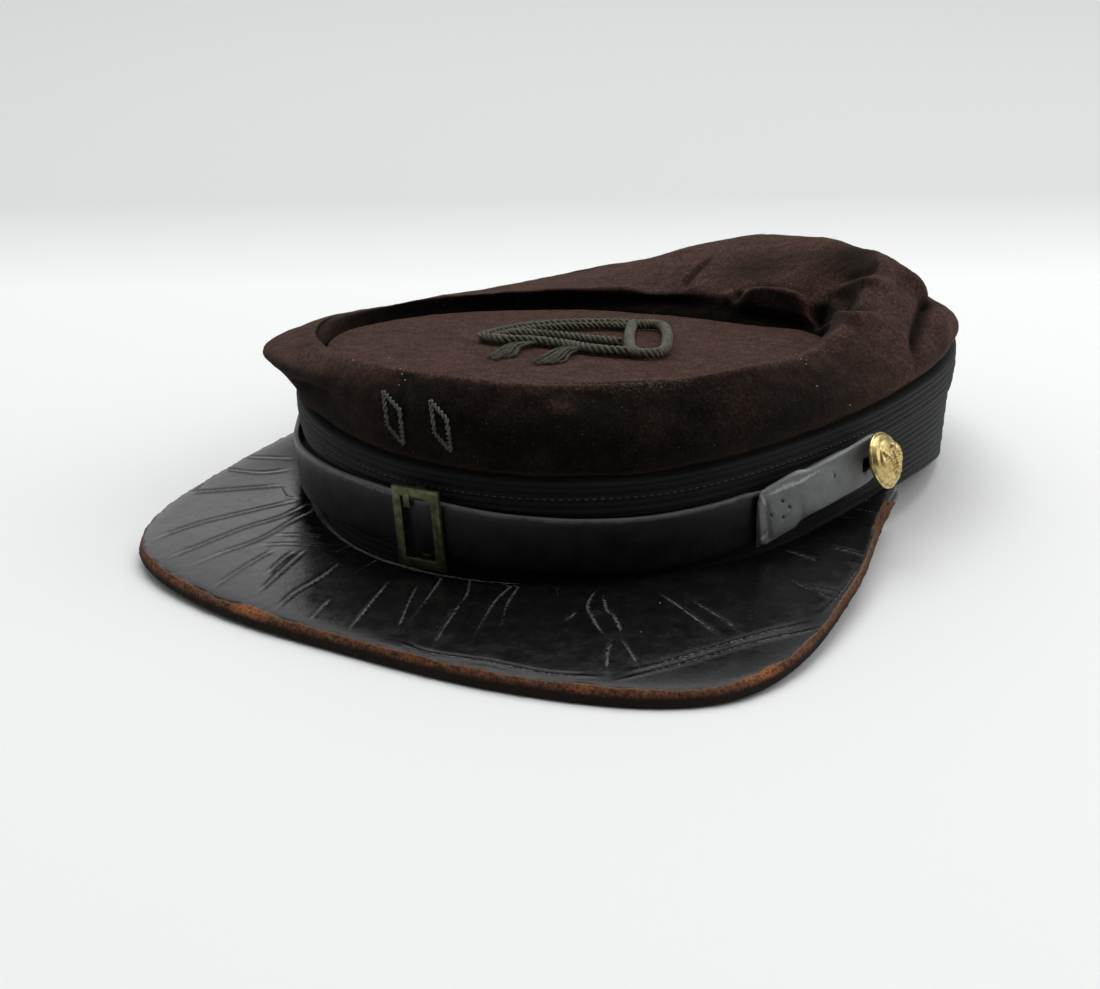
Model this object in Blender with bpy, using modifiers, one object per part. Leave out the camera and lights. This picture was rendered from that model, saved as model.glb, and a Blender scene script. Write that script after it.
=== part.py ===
"""A worn chasseur-style kepi, lying on the front edge of its peak and the back of its band.

Z is up and the table is at Z = 0. The peak points to -Y, and +X is the wearer's left.
A compass angle turns round the band's centre, in degrees: 0 is the wearer's left, 90 the back,
-90 the front, and 180 or -180 the wearer's right.
The tables are in millimetres and degrees, and every other value is in metres.
"""

import math
from collections import namedtuple

import bmesh
import bpy
from mathutils import Matrix, Vector

MM = 0.001
GAP = 0.3 * MM

# Driving sizes: a cap for a head of about 56 cm.
BAND_HALF_WIDTH_LEFT = 0.080
BAND_HALF_WIDTH_RIGHT = 0.0783
BAND_HALF_LENGTH = 0.100
BAND_FULL_HEIGHT = 0.030
BAND_TUCK = 0.032
BRAID_THICKNESS = 0.0026
WOOL_THICKNESS = 0.002
WOOL_FOOT_RISE = 0.0008
WOOL_OVER_BRAID = 0.0008
WOOL_BEND_OVER_BRAID = 0.00035
TOP_SEAM_TURN_IN = 0.0004
TOP_SEAM_DEPTH = 0.0022
PEAK_BODY_SHARE = 0.81
PEAK_EDGE_SPREAD = 0.0008
PEAK_BOW = 0.0012
STRAP_WIDTH = 0.0135
STRAP_THICKNESS = 0.0017
COLUMNS = 60
TOP_COLUMNS = 44
PEAK_COLUMNS = 50

BandRow = namedtuple("BandRow", "place compass lower upper")
BAND_ROWS = (
    BandRow("front", -90, 3.2, 30.8),
    BandRow("front left", -60, 3.2, 29.6),
    BandRow("before left button", -36, 6.0, 32.4),
    BandRow("left side", -8, 9.4, 34.3),
    BandRow("behind left button", 12, 6.8, 34.0),
    BandRow("left back", 30, 1.8, 33.2),
    BandRow("back, left of middle", 55, 0.0, 32.0),
    BandRow("back", 90, 0.0, 31.0),
    BandRow("back, right of middle", 120, 0.0, 29.9),
    BandRow("right back", 142, 0.6, 27.6),
    BandRow("behind right button", 165, 5.0, 29.4),
    BandRow("right side", 188, 8.4, 32.8),
    BandRow("before right button", 216, 5.6, 34.6),
    BandRow("front right", 242, 3.2, 33.4),
)

# The braid's two layers of ribs: how far each layer stands out, and its ribs from the top down.
RIB_DEPTH = 0.0006
TOP_LAYER_RIBS = 3
LOWER_LAYER_RIBS = 5
TOP_LAYER_LIFT = 0.0008

# The crown's outer face by compass, as heights and as distances out from or in from the band's
# face: the wall's middle, the rim where it turns in, the crest, how far the cloth between crest
# and top rises over a straight line, and how high the roll stands over the top's seam.
CrownRow = namedtuple("CrownRow", "place compass wall_out rim_out rim crest_in crest full roll")
CROWN_ROWS = (
    CrownRow("front seam", -92, 0.5, 2.0, 44.0, 4.0, 51.0, 0.0, 2.0),
    CrownRow("front left", -75, 1.0, 2.0, 42.5, 4.5, 49.8, 0.0, 2.0),
    CrownRow("nearest", -60, 1.5, 1.5, 41.0, 5.5, 48.8, 0.0, 2.0),
    CrownRow("left of nearest", -45, 1.5, 1.0, 41.0, 6.0, 49.6, 0.0, 2.0),
    CrownRow("before left button", -32, 1.5, 0.0, 41.5, 8.0, 49.4, 0.0, 2.0),
    CrownRow("over left button", -20, 1.5, -2.0, 42.5, 11.0, 49.4, 0.0, 2.0),
    CrownRow("left side", -6, 1.8, -3.5, 44.0, 14.5, 51.6, 0.0, 2.5),
    CrownRow("left shoulder", 8, 2.8, -6.0, 46.2, 18.4, 54.0, 0.0, 3.0),
    CrownRow("behind left shoulder", 22, 1.8, -8.5, 47.2, 18.4, 56.8, 0.0, 3.5),
    CrownRow("hump's left end", 36, 0.0, -10.0, 44.6, 22.4, 57.0, 0.0, 4.5),
    CrownRow("left back lobe", 50, -0.5, -8.0, 37.5, 26.4, 55.0, 0.5, 6.4),
    CrownRow("back, left of middle", 65, -0.5, -7.5, 38.5, 29.0, 51.7, 1.0, 7.0),
    CrownRow("back", 80, 0.5, -8.5, 40.3, 30.0, 49.3, 1.5, 6.6),
    CrownRow("hump's middle", 92, 0.5, -9.0, 41.0, 29.0, 47.4, 1.5, 5.4),
    CrownRow("back, right of middle", 105, 0.5, -8.5, 37.4, 28.0, 43.8, 1.5, 4.8),
    CrownRow("hump's right end", 118, 0.5, -8.0, 34.2, 25.0, 39.3, 1.0, 4.4),
    CrownRow("right of hump", 130, 0.5, -5.0, 32.0, 21.0, 36.6, 0.5, 4.8),
    CrownRow("right back", 142, 0.5, -4.0, 31.0, 18.0, 35.4, 0.0, 4.2),
    CrownRow("behind right button", 155, 0.5, -3.0, 31.6, 14.0, 35.0, 0.0, 3.5),
    CrownRow("over right button", 168, 0.5, -2.0, 33.2, 11.0, 35.8, 0.0, 3.0),
    CrownRow("right side", 180, 0.5, -1.0, 34.8, 9.0, 37.1, 0.0, 2.5),
    CrownRow("before right button", 192, 0.8, 0.5, 36.8, 8.0, 39.3, 0.0, 2.5),
    CrownRow("before the lobe", 204, 1.5, 2.5, 39.0, 6.5, 42.1, 0.0, 2.5),
    CrownRow("lobe's back", 215, 2.5, 6.2, 40.4, 5.0, 44.9, 0.0, 2.0),
    CrownRow("overhanging lobe", 226, 3.5, 10.0, 41.8, 4.5, 47.0, 0.0, 2.0),
    CrownRow("lobe's front", 240, 3.0, 6.6, 44.0, 4.0, 48.6, 0.0, 2.0),
    CrownRow("front right", 254, 1.5, 3.0, 45.2, 4.0, 50.4, 0.0, 2.0),
)

# Folds pressed into the crown: where each lies round the cap and up the cloth (0 at the braid,
# 1 at the top's seam), how far it spreads both ways, and how far it stands out (in if negative).
Fold = namedtuple("Fold", "name compass climb half_angle half_climb rise")
FOLDS = (
    Fold("crease over the hump", 98, 0.66, 4, 0.18, -2.0),
    Fold("hollow at the hump's left end", 30, 0.70, 9, 0.10, -2.5),
    Fold("valley behind the left shoulder", 46, 0.36, 6, 0.14, -3.0),
    Fold("groove under the front lobe", 236, 0.21, 20, 0.05, -1.5),
)

TOP_CENTRE = Vector((-0.001, -0.0355, 0.0427))
TOP_HALF_WIDTH = 0.060
TOP_HALF_LENGTH = 0.0545
TOP_FALL_TO_BACK = 0.095
TOP_RISE_TO_LEFT = 0.03
TOP_DOME = 0.0008
# The top runs out into a blunt corner under the hump's left end.
TOP_CORNER_TURN = 45.5
TOP_CORNER_SPREAD = 14.5
TOP_CORNER_REACH = 0.0125

# The peak by compass: how far its edge is from the band's centre, the heights of its top face at
# the edge and at the seam, and how thick its edge is.
PeakRow = namedtuple("PeakRow", "place compass reach edge seam thick")
PEAK_ROWS = (
    PeakRow("right end", -164, 82.5, 11.0, 11.4, 1.6),
    PeakRow("right side, back", -153, 91.1, 9.8, 9.2, 1.8),
    PeakRow("right side", -140, 108.3, 7.8, 6.4, 2.2),
    PeakRow("right corner, back", -131, 124.9, 6.2, 6.0, 2.6),
    PeakRow("right corner", -122, 136.0, 5.2, 5.8, 3.0),
    PeakRow("right of front", -110, 138.0, 4.4, 5.3, 3.6),
    PeakRow("front", -90, 138.6, 4.2, 4.7, 4.2),
    PeakRow("left of front", -72, 147.6, 4.2, 5.2, 4.2),
    PeakRow("left corner, front", -61, 153.3, 4.2, 6.2, 4.2),
    PeakRow("left corner", -54, 151.2, 4.4, 6.6, 4.2),
    PeakRow("left corner, back", -48, 139.5, 5.0, 6.6, 3.4),
    PeakRow("left side", -40, 119.9, 6.8, 7.4, 2.6),
    PeakRow("left side, back", -28, 97.7, 9.4, 9.6, 1.8),
    PeakRow("before left end", -20, 88.0, 10.6, 10.8, 1.7),
    PeakRow("left end", -11, 81.4, 11.2, 11.4, 1.6),
)

StrapRow = namedtuple("StrapRow", "place compass height")
STRAP_ROWS = (
    StrapRow("right button", -162, 21.6),
    StrapRow("before right button", -148, 16.1),
    StrapRow("right side", -136, 14.1),
    StrapRow("right of front", -124, 15.7),
    StrapRow("front right", -112, 17.2),
    StrapRow("before buckle", -98, 17.8),
    StrapRow("buckle", -91, 17.1),
    StrapRow("behind buckle", -79, 15.1),
    StrapRow("front left", -62, 13.9),
    StrapRow("before keeper", -52, 14.9),
    StrapRow("keeper", -45, 16.4),
    StrapRow("behind keeper", -38, 19.7),
    StrapRow("left side", -32, 21.6),
    StrapRow("left button", -23.6, 23.7),
)
LONG_STRAP_END = -26.0
KEEPER_COMPASS = -45.0
KEEPER_LENGTH = 0.0108
KEEPER_EXTRA_WIDTH = 0.0008
OUTER_STRAP_EXTRA_WIDTH = -0.0015
STRAP_END = 0.0048
STRAP_END_NARROWING = 0.005
STRAP_SOFT_EDGE = 0.00035

BUCKLE_COMPASS = -90.7
BUCKLE_WIDTH = 0.0124
BUCKLE_HEIGHT = 0.0200
BUCKLE_BAR = 0.0022
BUCKLE_OPENING = 0.0154
BUCKLE_THICKNESS = 0.0011
BUCKLE_RISE = 0.0001
BUCKLE_PRONG = 0.0017
BUCKLE_PRONG_THICKNESS = 0.0005
BUCKLE_PRONG_SINK = 0.00025
BUCKLE_BULGE = 0.0014
BUCKLE_BULGE_TURN = 2.0

BUTTON_RADIUS = 0.0067
BUTTON_DOME = 0.0030
BUTTON_RIM = 0.0006
BUTTON_BACK = 0.0026
LEFT_BUTTON_LEAN = Matrix.Rotation(math.radians(14), 4, "Y") @ Matrix.Rotation(math.radians(-24), 4, "X")
RIGHT_BUTTON_LEAN = Matrix.Rotation(math.radians(-3), 4, "Y")
SHANK_RADIUS = 0.0013

# The raised bird on each button, as flattened balls: half sizes, place and turn on the dome.
BirdPart = namedtuple("BirdPart", "name half_width half_height half_depth across up turn")
BIRD_PARTS = (
    BirdPart("body", 1.1, 3.1, 0.6, 0.0, -0.3, 0.0),
    BirdPart("left wing", 1.0, 2.6, 0.55, -2.4, 0.5, -24.0),
    BirdPart("right wing", 1.0, 2.6, 0.55, 2.4, 0.5, 24.0),
)
BIRD_LEAN_PER_MM = 8.0

BADGE_CENTRE = (0.003, -0.0395)
BADGE_TURN = math.radians(10)
ROPE_RADIUS = 0.00115

BROWN_WOOL = (0.030, 0.019, 0.016, 1.0)
BLACK_BRAID = (0.010, 0.011, 0.011, 1.0)
BLACK_LACQUER = (0.012, 0.012, 0.013, 1.0)
GREY_LACQUER = (0.060, 0.062, 0.062, 1.0)
OLIVE_BRASS = (0.33, 0.31, 0.17, 1.0)
GILT_BRASS = (0.62, 0.45, 0.14, 1.0)
OLIVE_CORD = (0.070, 0.066, 0.050, 1.0)


# Reading the tables


def read_row(rows, column, compass, closed=True):
    """A column's value at a compass angle, on a smooth curve through the table's rows."""
    angles = [float(row.compass) for row in rows]
    values = [float(getattr(row, column)) for row in rows]
    if closed:
        compass = angles[0] + (compass - angles[0]) % 360
        angles = [angles[-1] - 360, *angles, angles[0] + 360, angles[1] + 360]
        values = [values[-1], *values, values[0], values[1]]
    last = len(angles) - 1
    left = max(i for i in range(last) if i == 0 or angles[i] <= compass)
    right = left + 1

    def slope(i):
        before, after = max(i - 1, 0), min(i + 1, last)
        return (values[after] - values[before]) / (angles[after] - angles[before])

    span = angles[right] - angles[left]
    t = (compass - angles[left]) / span
    start, end = values[left], values[right]
    return (
        start * (1 + 2 * t) * (1 - t) ** 2
        + end * t * t * (3 - 2 * t)
        + span * slope(left) * t * (1 - t) ** 2
        - span * slope(right) * t * t * (1 - t)
    )


def band_lower(compass):
    """Height of the band's lower edge. The back lies flat on the table."""
    return max(0.0, read_row(BAND_ROWS, "lower", compass)) * MM


def band_upper(compass):
    return read_row(BAND_ROWS, "upper", compass) * MM


# Points round the cap


def half_width(compass):
    left = math.cos(math.radians(compass)) > 0
    return BAND_HALF_WIDTH_LEFT if left else BAND_HALF_WIDTH_RIGHT


def outward(compass):
    """The direction that leaves the band's oval squarely at a compass angle."""
    angle = math.radians(compass)
    across = math.cos(angle) / half_width(compass) ** 2
    along = math.sin(angle) / BAND_HALF_LENGTH**2
    return Vector((across, along, 0)).normalized()


def cap_point(compass, height, offset=0.0):
    """A point offset outwards from the band's outer face, which is tucked in towards its foot."""
    angle = math.radians(compass)
    across, along = math.cos(angle) / half_width(compass), math.sin(angle) / BAND_HALF_LENGTH
    tuck = BAND_TUCK * max(0.0, 1 - height / BAND_FULL_HEIGHT)
    reach = (1 - tuck) / math.hypot(across, along)
    foot = Vector((math.cos(angle), math.sin(angle), 0)) * reach
    return foot + outward(compass) * offset + Vector((0, 0, height))


def top_height(x, y):
    """Height of the sunken top's flat face, which slopes down to the back."""
    left, back = x - TOP_CENTRE.x, y - TOP_CENTRE.y
    return TOP_CENTRE.z + left * TOP_RISE_TO_LEFT - back * TOP_FALL_TO_BACK


def top_point(turn, margin, rise=0.0):
    """A point on the top's outline at a turn round its own centre, grown by a margin."""
    from_corner = (math.degrees(turn) - TOP_CORNER_TURN) / TOP_CORNER_SPREAD
    grown = margin + TOP_CORNER_REACH * math.exp(-from_corner * from_corner)
    x = TOP_CENTRE.x + (TOP_HALF_WIDTH + grown) * math.cos(turn)
    y = TOP_CENTRE.y + (TOP_HALF_LENGTH + grown) * math.sin(turn)
    return Vector((x, y, top_height(x, y) + rise))


def top_turn(compass):
    """The turn round the top's centre that faces the band's face at a compass angle."""
    face = cap_point(compass, BAND_FULL_HEIGHT)
    across = (face.x - TOP_CENTRE.x) / TOP_HALF_WIDTH
    along = (face.y - TOP_CENTRE.y) / TOP_HALF_LENGTH
    return math.atan2(along, across)


def compasses(first, last, count):
    """Evenly spaced angles from first to last, both included."""
    return [first + (last - first) * i / (count - 1) for i in range(count)]


def smooth_path(points, steps):
    """A smooth curve through the points, with a number of steps for each stretch between two."""
    path = []
    for i, count in enumerate(steps):
        before, start = points[max(i - 1, 0)], points[i]
        end, after = points[i + 1], points[min(i + 2, len(points) - 1)]
        for k in range(count):
            t = k / count
            path.append(
                start * (1 + 2 * t) * (1 - t) ** 2
                + end * t * t * (3 - 2 * t)
                + (end - before) * 0.5 * t * (1 - t) ** 2
                - (after - start) * 0.5 * t * t * (1 - t)
            )
    path.append(points[-1])
    return path


# Making objects


def clear_scene():
    for obj in list(bpy.data.objects):
        bpy.data.objects.remove(obj)


def new_collection(name):
    collection = bpy.data.collections.new(name)
    bpy.context.scene.collection.children.link(collection)
    return collection


def finish(name, color, roughness, metallic=0.0):
    material = bpy.data.materials.new(name)
    material.use_nodes = True
    shader = material.node_tree.nodes["Principled BSDF"]
    shader.inputs["Base Color"].default_value = color
    shader.inputs["Roughness"].default_value = roughness
    shader.inputs["Metallic"].default_value = metallic
    return material


def add_object(name, mesh, collection, material=None):
    obj = bpy.data.objects.new(name, mesh)
    collection.objects.link(obj)
    if material:
        mesh.materials.append(material)
    return obj


def mesh_from(name, work):
    """A mesh from a bmesh, with its faces turned outwards and shaded smooth up to 35 degrees."""
    bmesh.ops.recalc_face_normals(work, faces=work.faces[:])
    mesh = bpy.data.meshes.new(name)
    work.to_mesh(mesh)
    work.free()
    mesh.shade_smooth()
    mesh.set_sharp_from_angle(angle=math.radians(35))
    return mesh


def loft(sections, round_the_cap, closed_profile=True):
    """A bmesh skin over sections of equal length, joined end to end or capped at both ends."""
    work = bmesh.new()
    rings = [[work.verts.new(point) for point in section] for section in sections]
    pairs = list(zip(rings, rings[1:]))
    if round_the_cap:
        pairs.append((rings[-1], rings[0]))
    for here, there in pairs:
        edges = len(here) if closed_profile else len(here) - 1
        for i in range(edges):
            k = (i + 1) % len(here)
            work.faces.new((here[i], here[k], there[k], there[i]))
    if closed_profile and not round_the_cap:
        work.faces.new(rings[0])
        work.faces.new(rings[-1])
    return work


def cut(obj, cutter, operation="DIFFERENCE"):
    boolean = obj.modifiers.new(operation.lower(), "BOOLEAN")
    boolean.operation = operation
    boolean.solver = "EXACT"
    boolean.object = cutter
    cutter.hide_render = True
    cutter.display_type = "WIRE"


def thicken(obj, thickness):
    """Gives an open surface its thickness, on the inner side."""
    solid = obj.modifiers.new("thickness", "SOLIDIFY")
    solid.thickness = thickness
    solid.offset = -1


# The wool crown


def crown_profile(compass):
    """The outer face of the wool at one compass angle, from the foot to the top's seam."""
    lower, upper = band_lower(compass), band_upper(compass)
    wall_out, rim_out, rim, crest_in, crest, full, roll = (
        read_row(CROWN_ROWS, name, compass) * MM for name in CrownRow._fields[2:]
    )
    inside = -BRAID_THICKNESS - GAP
    hidden = [
        cap_point(compass, lower + WOOL_FOOT_RISE, inside),
        cap_point(compass, upper + WOOL_BEND_OVER_BRAID, inside),
    ]
    turn = top_turn(compass)
    ridge = cap_point(compass, crest, -crest_in)
    roll_top = top_point(turn, roll * 0.9, rise=roll)
    shown = smooth_path(
        [
            cap_point(compass, upper + WOOL_OVER_BRAID, -WOOL_OVER_BRAID),
            cap_point(compass, (upper + rim) / 2, wall_out),
            cap_point(compass, rim, rim_out),
            ridge,
            (ridge + roll_top) / 2 + Vector((0, 0, full)),
            roll_top,
            top_point(turn, roll * 0.35, rise=roll * 0.45),
            top_point(turn, GAP + TOP_SEAM_TURN_IN, rise=TOP_SEAM_TURN_IN),
        ],
        steps=(2, 2, 3, 2, 2, 2, 1),
    )
    return hidden, shown, [top_point(turn, GAP + TOP_SEAM_TURN_IN / 4, rise=-TOP_SEAM_DEPTH)]


def press_folds(work, places):
    """Moves each point of the shown cloth along its normal by the folds that reach it."""
    work.normal_update()
    for vert, (compass, climb) in zip(work.verts, places):
        if climb is None:
            continue
        rise = 0.0
        for fold in FOLDS:
            turn = (compass - fold.compass + 180) % 360 - 180
            across = (turn / fold.half_angle) ** 2 + ((climb - fold.climb) / fold.half_climb) ** 2
            rise += fold.rise * MM * math.exp(-across)
        vert.co += vert.normal * rise


def make_crown(collection, wool):
    sections, places = [], []
    for compass in compasses(-90, 270, COLUMNS + 1)[:-1]:
        hidden, shown, turned_in = crown_profile(compass)
        sections.append(hidden + shown + turned_in)
        places += [(compass, None)] * len(hidden)
        places += [(compass, i / (len(shown) - 1)) for i in range(len(shown))]
        places += [(compass, None)] * len(turned_in)
    work = loft(sections, round_the_cap=True, closed_profile=False)
    for face in work.faces:
        face.normal_flip()
    press_folds(work, places)
    mesh = bpy.data.meshes.new("crown")
    work.to_mesh(mesh)
    work.free()
    mesh.shade_smooth()
    crown = add_object("crown", mesh, collection, wool)
    thicken(crown, WOOL_THICKNESS)
    return crown


# The sunken top


def make_top(collection, wool):
    """A slab with rings of points out to its seam, a little domed and dented."""
    ring_sizes = (0.35, 0.7, 1.0)
    columns = TOP_COLUMNS
    work = bmesh.new()
    middle = work.verts.new(TOP_CENTRE + Vector((0, 0, TOP_DOME)))
    inner = [middle] * columns
    for size in ring_sizes:
        ring = []
        for compass in compasses(-90, 270, columns + 1)[:-1]:
            edge = top_point(math.radians(compass), 0)
            point = TOP_CENTRE.lerp(edge, size)
            point.z += TOP_DOME * (1 - size**2)
            ring.append(work.verts.new(point))
        for i in range(columns):
            k = (i + 1) % columns
            corners = [inner[i], ring[i], ring[k], inner[k]]
            work.faces.new(corners[:3] if inner[i] is middle else corners)
        inner = ring
    mesh = bpy.data.meshes.new("top_disc")
    work.to_mesh(mesh)
    work.free()
    mesh.shade_smooth()
    top = add_object("top_disc", mesh, collection, wool)
    thicken(top, WOOL_THICKNESS)
    return top


# The braid band


def braid_profile(compass):
    """The ribbed outer face from the top down, then the flat inner face from the foot up."""
    lower, upper = band_lower(compass), band_upper(compass)
    inner_drop = 0.4 * MM
    pitch = (upper - lower) / (TOP_LAYER_RIBS + LOWER_LAYER_RIBS)
    profile = []
    height = upper
    for rib in range(TOP_LAYER_RIBS + LOWER_LAYER_RIBS):
        lift = TOP_LAYER_LIFT if rib < TOP_LAYER_RIBS else 0.0
        profile.append(cap_point(compass, height - 0.12 * pitch, lift - RIB_DEPTH))
        profile.append(cap_point(compass, height - 0.5 * pitch, lift))
        height -= pitch
    profile.append(cap_point(compass, lower, -RIB_DEPTH))
    profile.append(cap_point(compass, lower, -BRAID_THICKNESS))
    profile.append(cap_point(compass, upper - inner_drop, -BRAID_THICKNESS))
    profile.append(cap_point(compass, upper, -BRAID_THICKNESS + 0.5 * MM))
    return profile


def make_braid(collection, braid):
    sections = [braid_profile(c) for c in compasses(-90, 270, COLUMNS + 1)[:-1]]
    work = loft(sections, round_the_cap=True)
    return add_object("braid_band", mesh_from("braid_band", work), collection, braid)


# The peak


def peak_profile(compass):
    """The top face from the seam out, the worn edge, and the underside back to the seam."""
    reach, edge, seam, thick = (
        read_row(PEAK_ROWS, name, compass, closed=False) * MM for name in PeakRow._fields[2:]
    )
    angle = math.radians(compass)
    out = Vector((math.cos(angle) * reach, math.sin(angle) * reach, 0))
    start = cap_point(compass, seam, GAP)
    start.z = 0.0
    width = (out - start).length

    def at(share, depth, inset=0.0):
        """A point a share of the way out, at a depth under the top face."""
        place = start.lerp(out, share) - (out - start).normalized() * inset
        top = seam + (edge - seam) * share**1.4 + 4 * PEAK_BOW * share * (1 - share)
        return place + Vector((0, 0, max(0.0, top - depth)))

    round_off = min(0.7 * MM, width * 0.1)
    shares = (0.0, 0.2, 0.45, 0.7, 0.92)
    top_face = [at(share, 0.0) for share in shares]
    edge_face = [
        at(1.0, 0.04 * thick, round_off),
        at(1.0, 0.25 * thick, -PEAK_EDGE_SPREAD * 0.4),
        at(1.0, 0.80 * thick, -PEAK_EDGE_SPREAD),
        at(1.0, thick, round_off - PEAK_EDGE_SPREAD),
    ]
    underside = [at(share, thick * PEAK_BODY_SHARE) for share in (0.92, 0.5, 0.0)]
    return top_face + edge_face + underside


def make_peak(collection, lacquer):
    first, last = PEAK_ROWS[0].compass, PEAK_ROWS[-1].compass
    sections = [peak_profile(c) for c in compasses(first, last, PEAK_COLUMNS)]
    work = loft(sections, round_the_cap=False)
    return add_object("peak", mesh_from("peak", work), collection, lacquer)


# The chin strap


def strap_height(compass):
    return read_row(STRAP_ROWS, "height", compass, closed=False) * MM


def strap_lift(compass):
    """How far the strap stands off the band. It bulges over the bar at the back of the buckle."""
    turn = (compass - BUCKLE_COMPASS) / BUCKLE_BULGE_TURN
    return TOP_LAYER_LIFT + GAP + BUCKLE_BULGE * math.exp(-turn * turn)


def strap_section(compass, lift, extra_width=0.0):
    """A strap's cross-section: a slightly rounded slab that lies along the band."""
    middle = strap_height(compass)
    half = (STRAP_WIDTH + extra_width) / 2
    soft = STRAP_SOFT_EDGE

    def at(height, depth):
        return cap_point(compass, middle + height, lift + depth)

    return [
        at(half, soft),
        at(half - soft, 0.0),
        at(soft - half, 0.0),
        at(-half, soft),
        at(-half, STRAP_THICKNESS - soft),
        at(soft - half, STRAP_THICKNESS),
        at(half - soft, STRAP_THICKNESS),
        at(half, STRAP_THICKNESS - soft),
    ]


def arc_degrees(length, compass):
    """The turn round the band that covers a length."""
    return math.degrees(length / cap_point(compass, 0.016).to_2d().length)


def make_strap(name, stations, collection, lacquer, hole):
    """A strap through a list of stations: its compass, how far it stands off and extra width."""
    sections = [strap_section(compass, lift, extra) for compass, lift, extra in stations]
    work = loft(sections, round_the_cap=False)
    strap = add_object(name, mesh_from(name, work), collection, lacquer)
    cut(strap, hole)
    return strap


def long_strap_stations():
    first = STRAP_ROWS[0].compass - arc_degrees(STRAP_END, STRAP_ROWS[0].compass)
    buckle_first, buckle_last = BUCKLE_COMPASS - 4.5, BUCKLE_COMPASS + 4.5
    tip = compasses(first, first + 3, 3)
    stations = [(tip[0], -STRAP_END_NARROWING), (tip[1], -STRAP_END_NARROWING * 0.4)]
    plain = compasses(tip[2], buckle_first - 2, 18)
    plain += compasses(buckle_first, buckle_last, 13)
    plain += compasses(buckle_last + 2, LONG_STRAP_END, 16)
    stations += [(compass, 0.0) for compass in plain]
    return [(compass, strap_lift(compass), extra) for compass, extra in stations]


def short_strap_stations():
    """The outer strap lies on the long one. Its front end is folded to a wider keeper."""
    over = TOP_LAYER_LIFT + GAP + STRAP_THICKNESS + GAP
    last = STRAP_ROWS[-1].compass + arc_degrees(STRAP_END, STRAP_ROWS[-1].compass)
    keeper = arc_degrees(KEEPER_LENGTH, KEEPER_COMPASS)
    stations = compasses(KEEPER_COMPASS, KEEPER_COMPASS + keeper, 4)
    stations = [(compass, over, KEEPER_EXTRA_WIDTH) for compass in stations]
    plain = compasses(KEEPER_COMPASS + keeper + 1.0, last - 3, 9)
    stations += [(compass, over, OUTER_STRAP_EXTRA_WIDTH) for compass in plain]
    stations.append((last - 1.5, over, -STRAP_END_NARROWING * 0.4))
    stations.append((last, over, -STRAP_END_NARROWING))
    return stations


def facing(compass, height, lift):
    """The matrix of a frame on the band: its X runs along the band, its Y up, its Z outwards."""
    along = Vector((0, 0, 1)).cross(outward(compass))
    up = (cap_point(compass, height + MM) - cap_point(compass, height)).normalized()
    out = along.cross(up)
    turn = Matrix((along, up, out)).transposed().to_4x4()
    return Matrix.Translation(cap_point(compass, height) + out * lift) @ turn


# The buckle


def box(work, size, centre):
    made = bmesh.ops.create_cube(work, size=1.0)
    bmesh.ops.scale(work, vec=size, verts=made["verts"])
    bmesh.ops.translate(work, vec=centre, verts=made["verts"])


def box_object(name, size, centre, collection):
    work = bmesh.new()
    box(work, size, centre)
    return add_object(name, mesh_from(name, work), collection)


def make_buckle(collection, tools, brass):
    """A flat frame over the strap. Its middle bar is behind the strap, on two short stubs."""
    bar_back = TOP_LAYER_LIFT + GAP
    bar_front = bar_back + BUCKLE_BULGE - GAP
    inner_turn = arc_degrees(BUCKLE_WIDTH / 2 - BUCKLE_BAR, BUCKLE_COMPASS)
    frame_back = strap_lift(BUCKLE_COMPASS + inner_turn) + STRAP_THICKNESS + GAP
    frame_front = frame_back + BUCKLE_THICKNESS
    deep = 0.02

    def part(name, width, height, back, front, where=tools):
        return box_object(name, (width, height, front - back), (0, 0, (front + back) / 2), where)

    inner_width = BUCKLE_WIDTH - 2 * BUCKLE_BAR
    buckle = part("buckle", BUCKLE_WIDTH, BUCKLE_HEIGHT, frame_back, frame_front, collection)
    window = part("buckle_window", inner_width, BUCKLE_OPENING, 0.0, deep)
    stub_front = (frame_back + frame_front) / 2
    bar = part("buckle_bar", BUCKLE_BAR, BUCKLE_HEIGHT - MM, bar_back, stub_front)
    strap_room = part("buckle_strap_room", deep, BUCKLE_OPENING, bar_front, deep)
    prong_back = frame_front - BUCKLE_PRONG_SINK
    prong_front = prong_back + BUCKLE_PRONG_THICKNESS
    prong = part("buckle_prong", BUCKLE_PRONG, 2 * BUCKLE_PRONG, prong_back, prong_front)
    place = facing(BUCKLE_COMPASS, strap_height(BUCKLE_COMPASS) + BUCKLE_RISE, 0.0)
    for obj in (buckle, window, bar, strap_room):
        obj.matrix_world = place
    aside = Vector((BUCKLE_PRONG - inner_width / 2, BUCKLE_OPENING / 2 - BUCKLE_PRONG / 2, 0))
    prong.matrix_world = place @ Matrix.Translation(aside)
    cut(bar, strap_room)
    cut(buckle, window)
    cut(buckle, bar, "UNION")
    cut(buckle, prong, "UNION")
    buckle.data.materials.append(brass)
    return buckle


# The buttons


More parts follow.
